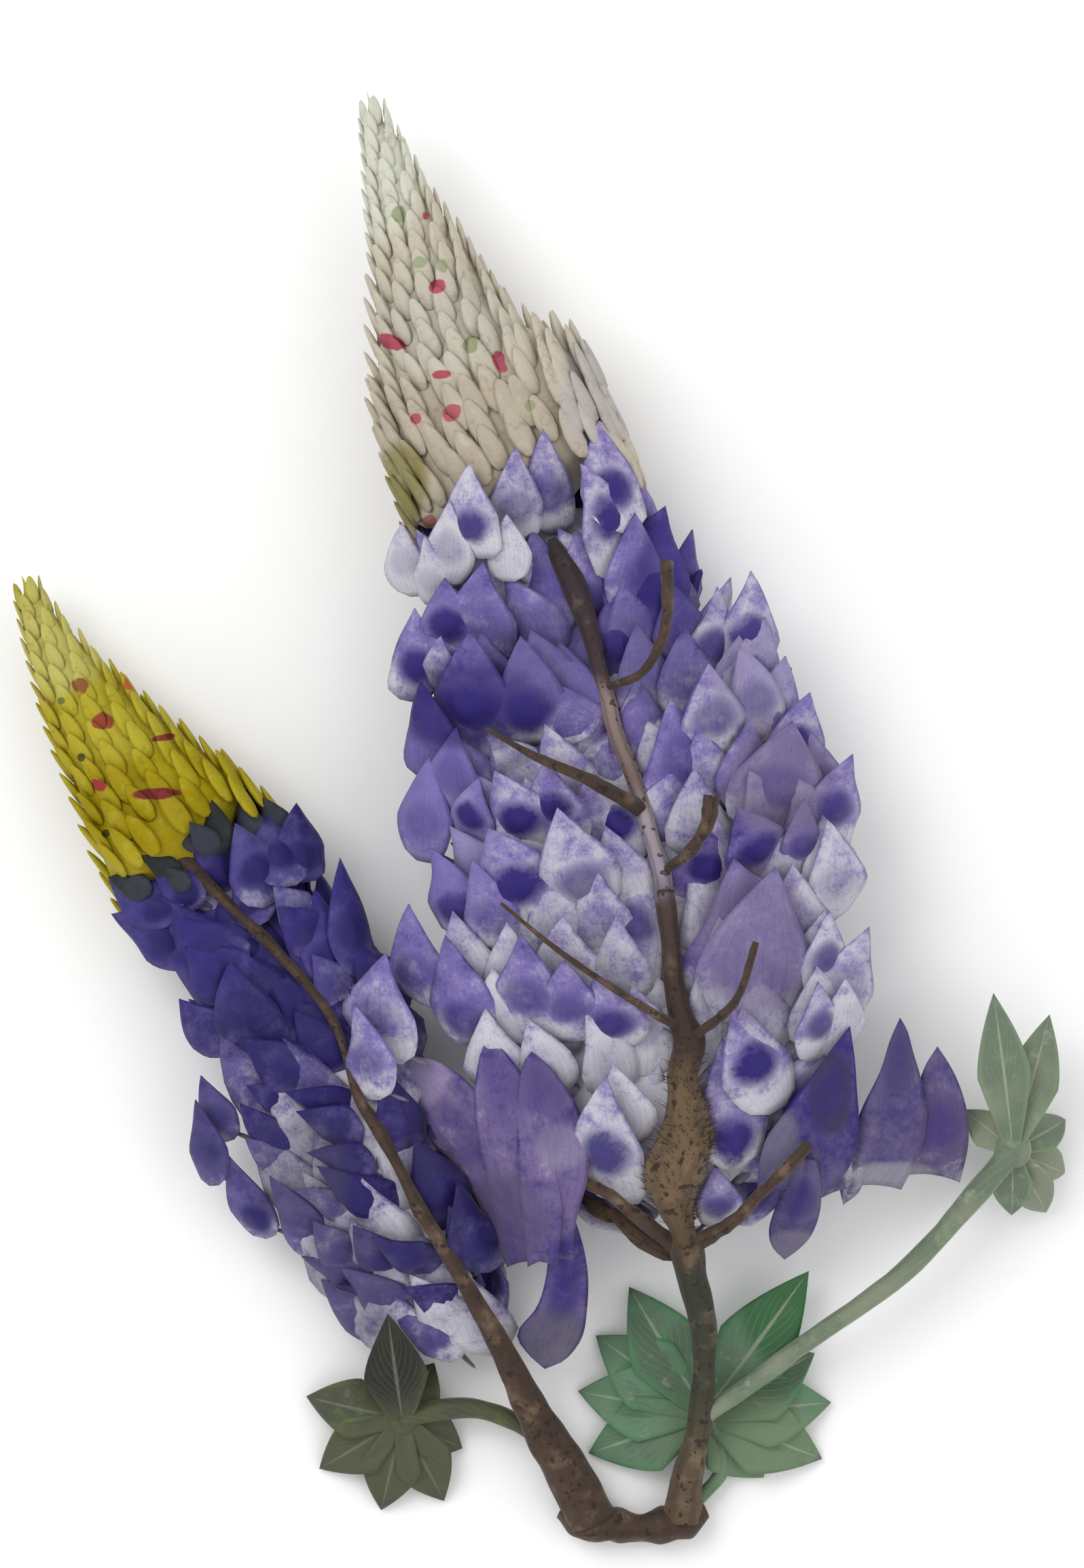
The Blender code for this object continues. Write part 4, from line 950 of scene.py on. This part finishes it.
def inner_places(spike, low, high, depths, rng):
    """Rows for the small inner petals of a head's front, between and behind the larger ones."""
    rows, y, turn = [], low, 0
    while y < high:
        left, right = (column(spike.reach, k, y) * INNER_REACH for k in (1, 2))
        count = int((left + right) / INNER_STEP)
        along = spike.centre(y + 5) - spike.centre(y - 5)
        for j in range(count + turn):
            across = -left + (left + right) * (j + 0.5 * (1 - turn)) / count
            x = spike.centre(y).x + across + rng.uniform(-1, 1)
            fan = across / (left + right) * 9
            length = rng.uniform(18, 22)
            slope = along.x / along.y
            row = (x, y + rng.uniform(-1.5, 1.5), x - fan - slope * length, y - length, rng.uniform(5.2, 6.4),
                   read(depths, y) + rng.uniform(-0.05, 0.1), 0.15, 0.5)
            if not any(math.hypot((x - fan / 2 - at[0]) / size[0], (y - length / 2 - at[1]) / size[1]) < 1
                       for at, size in BARE):
                rows.append(row)
        y, turn = y + INNER_STEP, 1 - turn
    return rows


def add_front_petals(banners, calyces, spike, table, rng, clear=None):
    """The petals of a table, leaning out from the head's front, each on its own pedicel.

    Above the height clear, the tips stand out over the buds. The small inner petals have no such height.
    """
    inner = clear is None
    share, columns, rows = (INNER_SHARE, 4, 6) if inner else (1.0, 8, 12)
    for tip_x, tip_y, foot_x, foot_y, half_width, depth, blotch, place in table:
        high, low = share, share * 0.5
        if not inner:
            high += 0.16 * min(1.0, max(0.0, (tip_y - clear) / 8))
            low += 0.55 * min(1.0, max(0.0, (foot_y + 12 - clear) / 10))
        tip = Vector((tip_x, tip_y, spike.front(tip_x, tip_y, half_width, high)))
        foot = Vector((foot_x, foot_y, spike.front(foot_x, foot_y, half_width, low) - spike.drop.z))
        centre = spike.centre((tip_y + foot_y) / 2)
        lean = ((tip_x + foot_x) / 2 - centre.x) / column(spike.reach, 2 if foot_x > centre.x else 1, foot_y)
        facing = Vector((lean * 0.5 + rng.uniform(-0.12, 0.12), rng.uniform(-0.1, 0.1), 1))
        wide = half_width * 1.25
        banners.petal(foot, tip, facing, wide, (depth, blotch, place), bulge=0.07, cup=0.16, fold=-0.05,
                      wave=wide * 0.05, phase=rng.uniform(0, 6), columns=columns, rows=rows,
                      keel=wide * 0.22 * blotch, lean=rng.uniform(-0.4, 0.4))
        end = (tip - foot).normalized() * 3
        root = spike.centre(foot_y - 4) - spike.drop
        root = foot + (root - foot) * min(1.0, PEDICEL / (root - foot).length)
        if not inner and root.z > 6:
            stalk = foot + end - root
            calyces.pod((root + foot + end) / 2, stalk, facing, stalk.length, 1.2, 1.2, depth,
                        rings=4, taper=0.1)


def add_head(name, spike, settings, looks, rng):
    """A head's rings of florets, the petals of its front and its heart."""
    plan, size, node = HEADS[name], settings.length / MM, f"{name}_florets"
    kinds = zip(("banners", "keels", "calyces", "heart"), looks, (settings.thickness, 0, 0, 0))
    pieces = [Piece(f"{name}_{kind}", node, "violet_petal", look, wall) for kind, look, wall in kinds]
    banners, keels, calyces, heart = pieces
    lengths = [(y, size * share) for y, share in plan["lengths"]]
    places = whorls(*plan["rings"], lengths, plan["counts"], rng)
    add_florets(banners, keels, calyces, spike, places, plan["depths"], plan["share"], rng)
    inner = inner_places(spike, *plan["inner"], plan["inner_depths"], rng)
    add_front_petals(banners, calyces, spike, inner, rng)
    add_front_petals(banners, calyces, spike, plan["petals"], rng, plan["clear"])
    heart.heart(spike, *plan["heart"], HEART, spike.drop, ends=(0.6, 0.7), lumps=1.2)
    for piece in pieces:
        piece.finish()


def add_buds(piece, spike, low, high, rows, around, edge, rng):
    """The closed buds of a spike's tip, one ring above another, each pointing to the tip.

    In front they begin at the edge, a line of x and y.
    """
    for k in range(rows):
        part = k / (rows - 1)
        level = low + (high - low) * (1 - (1 - part) ** 1.12)
        size = column(spike.reach, 2, level)
        count = max(5, int(round(around * (size / column(spike.reach, 2, low)) ** 0.8)))
        for j in range(count):
            angle = 2 * math.pi * (j + 0.5 * (k % 2)) / count + rng.uniform(-0.09, 0.09)
            out = spike.offset(level, angle)
            length = (5.6 + 0.26 * size) * rng.uniform(0.92, 1.12)
            centre = spike.centre(level) + out * 0.94
            along = (spike.centre(level + 8) - spike.centre(level)).normalized() + out.normalized() * 0.06
            if math.sin(angle) < 0.1 or centre.y - length * 0.4 > read(edge, centre.x):
                piece.pod(centre, along, out, length, length * 0.56, length * 0.21, rng.random(),
                          sides=8, rings=6, taper=0.4, hook=0.08)


class LUPIN_OT_stems(bpy.types.Operator):
    """Both stems, the crown, the flower branches, the bracts and the hairs on the swelling"""

    bl_idname = "lupin.stems"
    bl_label = "Stems"

    def execute(self, context):
        settings = context.scene.lupin_stems
        rng = random.Random(5)
        banded = stem_material("main_stem", STEM_BANDS, settings.brown, 5)
        brown = stem_material("brown_stem", None, settings.brown, 4)
        branches = [LOW_LEFT_BRANCH, LOW_RIGHT_BRANCH, BLOOM_STALK]
        branches += [branch_route(*branch) for branch in BRANCHES]
        for name, look, routes, *shape in (
            ("main_stem", banded, [MAIN_STEM], STEM_STEPS, 20, 0.16),
            ("side_stem", brown, [SIDE_STEM], STEM_STEPS, 18, 0.14),
            ("crown", brown, [CROWN], STEM_STEPS, 22, 0.22, 4),
            ("flower_branches", brown, branches, EDGE_STEPS, 12, 0.25, 2.5),
        ):
            piece = Piece(name, "stems", "stem", look)
            for route in routes:
                piece.tube(route, *shape)
            piece.finish()
        piece = Piece("bracts", "stems", "stem", brown, BRACT_WALL)
        for base, tip, width in BRACTS:
            piece.petal(base, tip, (0.2, 0.3, 1), width, (0.3, 0, 0.5), bulge=0.08, cup=0.4, fold=0.2,
                        wave=0.3, phase=1, columns=6, rows=10)
        piece.finish()
        piece = Piece("stem_hairs", "stems", "stem", brown)
        route = np.array(smooth_route(MAIN_STEM, STEM_STEPS)).T
        for _ in range(settings.hairs):
            y = rng.triangular(*HAIRY)
            angle = rng.triangular(-0.4, math.pi + 0.4, 0.3)
            x, z, radius = (column(route, k, y, 1) for k in (0, 2, 3))
            out = Vector((math.cos(angle), rng.uniform(0.1, 0.9), math.sin(angle))).normalized()
            root = Vector((x, y, z)) + Vector((math.cos(angle), 0, math.sin(angle))) * radius * 0.9
            length = settings.hair_length / MM * rng.uniform(0.6, 1.3)
            piece.pod(root + out * length / 2, out, (0, 0.1, 1), length, 0.34, 0.34, rng.random(),
                      sides=3, rings=3, taper=0.9)
        piece.finish()
        return {"FINISHED"}


class LUPIN_OT_main_spike(bpy.types.Operator):
    """The main spike's florets, from lavender to indigo"""

    bl_idname = "lupin.main_spike"
    bl_label = "Main spike"

    def execute(self, context):
        settings = context.scene.lupin_petals
        add_head("main", MAIN, settings, (
            petal_material("violet_petal", settings.violet, settings, MAIN_WASHES, 0.75),
            pod_material("keel", settings.indigo, (86, 72, 140)),
            pod_material("calyx", (110, 102, 140), (112, 112, 112)),
            petal_material("inner_florets", settings.pale, settings),
        ), random.Random(11))
        return {"FINISHED"}


class LUPIN_OT_side_spike(bpy.types.Operator):
    """The side spike's darker florets and the dark sepals below its buds"""

    bl_idname = "lupin.side_spike"
    bl_label = "Side spike"

    def execute(self, context):
        settings = context.scene.lupin_petals
        rng = random.Random(23)
        add_head("side", SIDE, settings, (
            petal_material("dusk_petal", settings.dusk, settings, SIDE_WASHES, 0.5, deep=(0.1, 0.05, 0.34)),
            pod_material("side_keel", (28, 20, 72), (52, 44, 104)),
            pod_material("side_calyx", (70, 68, 96), (96, 104, 84)),
            petal_material("side_inner_florets", settings.pale, settings, SIDE_HEART_WASHES),
        ), rng)
        piece = Piece("side_sepals", "side_florets", "leaf", sepal_material(), settings.thickness)
        for tip_x, tip_y, foot_x, foot_y, half_width, depth in SIDE_SEPALS:
            foot, tip = ((x, y, SIDE.front(x, y, 0, share)) for x, y, share in
                         ((foot_x, foot_y, 0.7), (tip_x, tip_y, 1.36)))
            piece.petal(foot, tip, (0, -0.1, 1), half_width, (depth, 0, 0.5), bulge=0.06, cup=0.2,
                        columns=6, rows=8)
        for j in range(9):
            angle = math.radians(-168 + j * 39)
            if math.sin(angle) < 0.3:
                base = SIDE.centre(141) + SIDE.offset(141, angle, (0.78, 0.78))
                tip = SIDE.centre(151) + SIDE.offset(151, angle, (0.98, 0.98))
                piece.petal(base, tip, tip - SIDE.centre(151), 3.4, (rng.uniform(0.5, 0.9), 0, 0.5), cup=0.3)
        piece.finish()
        return {"FINISHED"}


class LUPIN_OT_buds(bpy.types.Operator):
    """The cream buds and the yellow buds of the two tips"""

    bl_idname = "lupin.buds"
    bl_label = "Buds"

    def execute(self, context):
        settings = context.scene.lupin_buds
        rng = random.Random(31)
        cream = bud_material("cream_bud", settings.cream, CREAM_WASHES, CREAM_FLECKS, (24, 30),
                             (138, 124, 106), (196, 192, 176))
        yellow = bud_material("yellow_bud", settings.yellow, YELLOW_WASHES, YELLOW_FLECKS, (15, 21),
                              (118, 102, 4), (184, 176, 70))
        for name, slot, look, spike, heart, buds in (
            ("main", "cream_bud", cream, MAIN, (214, 311, (0.42, 0.3), 0.8),
             (218, 306, settings.main_rows, 24, MAIN_EDGE)),
            ("side", "yellow_bud", yellow, SIDE, (138, 204, (0.5, 0.3), 0.7),
             (140, 200, settings.side_rows, 19, SIDE_EDGE)),
        ):
            low, high, ends, lumps = heart
            piece = Piece(f"{name}_tip_heart", f"{name}_buds", slot, look)
            piece.heart(spike, low, high, (0.9, 0.9), Vector((0, 0, 0)), ends, lumps)
            piece.finish()
            piece = Piece(f"{name}_tip_buds", f"{name}_buds", slot, look)
            add_buds(piece, spike, *buds, rng)
            piece.finish()
        return {"FINISHED"}


class LUPIN_OT_blooms(bpy.types.Operator):
    """The two blooms of large petals on the lowest branches"""

    bl_idname = "lupin.blooms"
    bl_label = "Low blooms"

    def execute(self, context):
        settings = context.scene.lupin_petals
        rng = random.Random(41)
        mauve = petal_material("mauve_petal", settings.mauve, settings, LOW_LEFT_WASHES, 0.7, -0.2)
        plum = petal_material("plum_petal", settings.plum, settings, LOW_RIGHT_WASHES, 0.7, 0.1)
        for node, middle, table, look in (
            ("low_left_bloom", LOW_LEFT_HEART, LOW_LEFT_PETALS, mauve),
            ("low_right_bloom", LOW_RIGHT_HEART, LOW_RIGHT_PETALS, plum),
        ):
            piece = Piece(f"{node}_receptacle", node, "mauve_petal", look)
            piece.pod(middle, (0.3, 1, 0), (0, 0, 1), 11, 8, 8, 0.4, sides=12, rings=10)
            piece.finish()
            piece = Piece(f"{node}_petals", node, "mauve_petal", look, settings.thickness)
            for left, right, *marks in table:
                piece.lobe(left, right, marks, rng.uniform(0, 6))
            piece.finish()
        return {"FINISHED"}


class LUPIN_OT_leaves(bpy.types.Operator):
    """The three palmate leaves and their petioles"""

    bl_idname = "lupin.leaves"
    bl_label = "Leaves"

    def execute(self, context):
        settings = context.scene.lupin_leaves
        rng = random.Random(53)
        for node, plan in LEAVES.items():
            hue = plan["hue"]
            look = leaf_material(f"{hue}_leaf", getattr(settings, hue), *plan["tints"], plan["washes"])
            middle = Vector(plan["middle"])
            piece = Piece(f"{node}_petiole", node, "leaf", look)
            piece.tube(plan["petiole"], STEM_STEPS, 14, 0.12)
            piece.finish()
            piece = Piece(f"{node}_leaflets", node, "leaf", look, settings.thickness)
            piece.pod(middle, (0, 1, 0), (0, 0, 1), 8, 8, 3.6, PLAIN_TONE, sides=12, rings=8, taper=0)
            for degrees, length, tip_z in plan["leaflets"]:
                turn = math.radians(degrees)
                out = Vector((math.cos(turn), math.sin(turn), 0))
                tip = Vector((middle.x, middle.y, 0)) + out * length + Vector((0, 0, tip_z))
                width = plan["half_width"] * min(1, 0.4 + length / 40)
                piece.petal(middle - out * 1.5, tip, (0, 0, 1), width, (rng.random(), 0, 0.5), cup=0.0,
                            fold=0.16, wave=0.5, phase=rng.uniform(0, 6), columns=10, rows=16,
                            outline=leaflet_outline)
            piece.finish()
        return {"FINISHED"}


class LUPIN_OT_stage(bpy.types.Operator):
    """The pale floor, the soft light and the camera above the plant"""

    bl_idname = "lupin.stage"
    bl_label = "Stage"

    def execute(self, context):
        settings = context.scene.lupin_stage
        scene = context.scene
        made = bmesh.new()
        bmesh.ops.create_grid(made, x_segments=1, y_segments=1, size=FLOOR_HALF)
        mesh = bpy.data.meshes.new("floor")
        made.to_mesh(mesh)
        made.free()
        floor = bpy.data.objects.new("floor", mesh)
        scene.collection.objects.link(floor)
        surface = Surface("floor", 0.9)
        surface.colour = surface.mix(surface.noise(3, 2) * 0.04, settings.floor, (230, 230, 230))
        mesh.materials.append(surface.finish())

        world = bpy.data.worlds.new("studio")
        world.use_nodes = True
        colour, strength = world.node_tree.nodes["Background"].inputs[:2]
        colour.default_value, strength.default_value = (1.0, 1.0, 1.0, 1.0), 0.85
        scene.world = world
        lamps = (("key", (-0.7, 0.6, 1.3), 0.9, 9.0), ("fill", (0.9, -0.3, 1.1), 1.2, 3.0))
        for name, place, size, power in lamps:
            data = bpy.data.lights.new(name, "AREA")
            data.size, data.energy = size, power
            lamp = bpy.data.objects.new(name, data)
            lamp.location = place
            lamp.rotation_euler = Vector(place).to_track_quat("Z", "Y").to_euler()
            scene.collection.objects.link(lamp)

        data = bpy.data.cameras.new("camera")
        data.sensor_fit, data.sensor_height = "VERTICAL", SENSOR
        data.lens = SENSOR * (settings.height - FOCUS) / settings.frame_height
        data.clip_end = 20
        camera = bpy.data.objects.new("camera", data)
        camera.location = (*PHOTO_CENTRE, settings.height)
        scene.collection.objects.link(camera)
        scene.camera = camera
        scene.view_settings.view_transform = "Standard"
        return {"FINISHED"}


class LUPIN_PT_panel(bpy.types.Panel):
    """The lupin's settings and pieces"""

    bl_idname = "LUPIN_PT_panel"
    bl_label = "Lupin"
    bl_space_type = "VIEW_3D"
    bl_region_type = "UI"
    bl_category = "Lupin"

    def draw(self, context):
        for group, kind in SETTINGS.items():
            box = self.layout.box()
            for name in kind.__annotations__:
                box.prop(getattr(context.scene, group), name)
        for operator in OPERATORS:
            self.layout.operator(operator.bl_idname)


SETTINGS = {
    "lupin_petals": PetalSettings,
    "lupin_buds": BudSettings,
    "lupin_stems": StemSettings,
    "lupin_leaves": LeafSettings,
    "lupin_stage": StageSettings,
}
OPERATORS = [
    LUPIN_OT_stage, LUPIN_OT_stems, LUPIN_OT_leaves, LUPIN_OT_blooms, LUPIN_OT_main_spike,
    LUPIN_OT_side_spike, LUPIN_OT_buds,
]


def register():
    for kind in [*SETTINGS.values(), *OPERATORS, LUPIN_PT_panel]:
        bpy.utils.register_class(kind)
    for name, kind in SETTINGS.items():
        setattr(bpy.types.Scene, name, bpy.props.PointerProperty(type=kind))


def unregister():
    for name in SETTINGS:
        delattr(bpy.types.Scene, name)
    for kind in reversed([*SETTINGS.values(), *OPERATORS, LUPIN_PT_panel]):
        bpy.utils.unregister_class(kind)


def main():
    register()
    for operator in OPERATORS:
        group, name = operator.bl_idname.split(".")
        getattr(getattr(bpy.ops, group), name)()


if __name__ == "__main__":
    main()
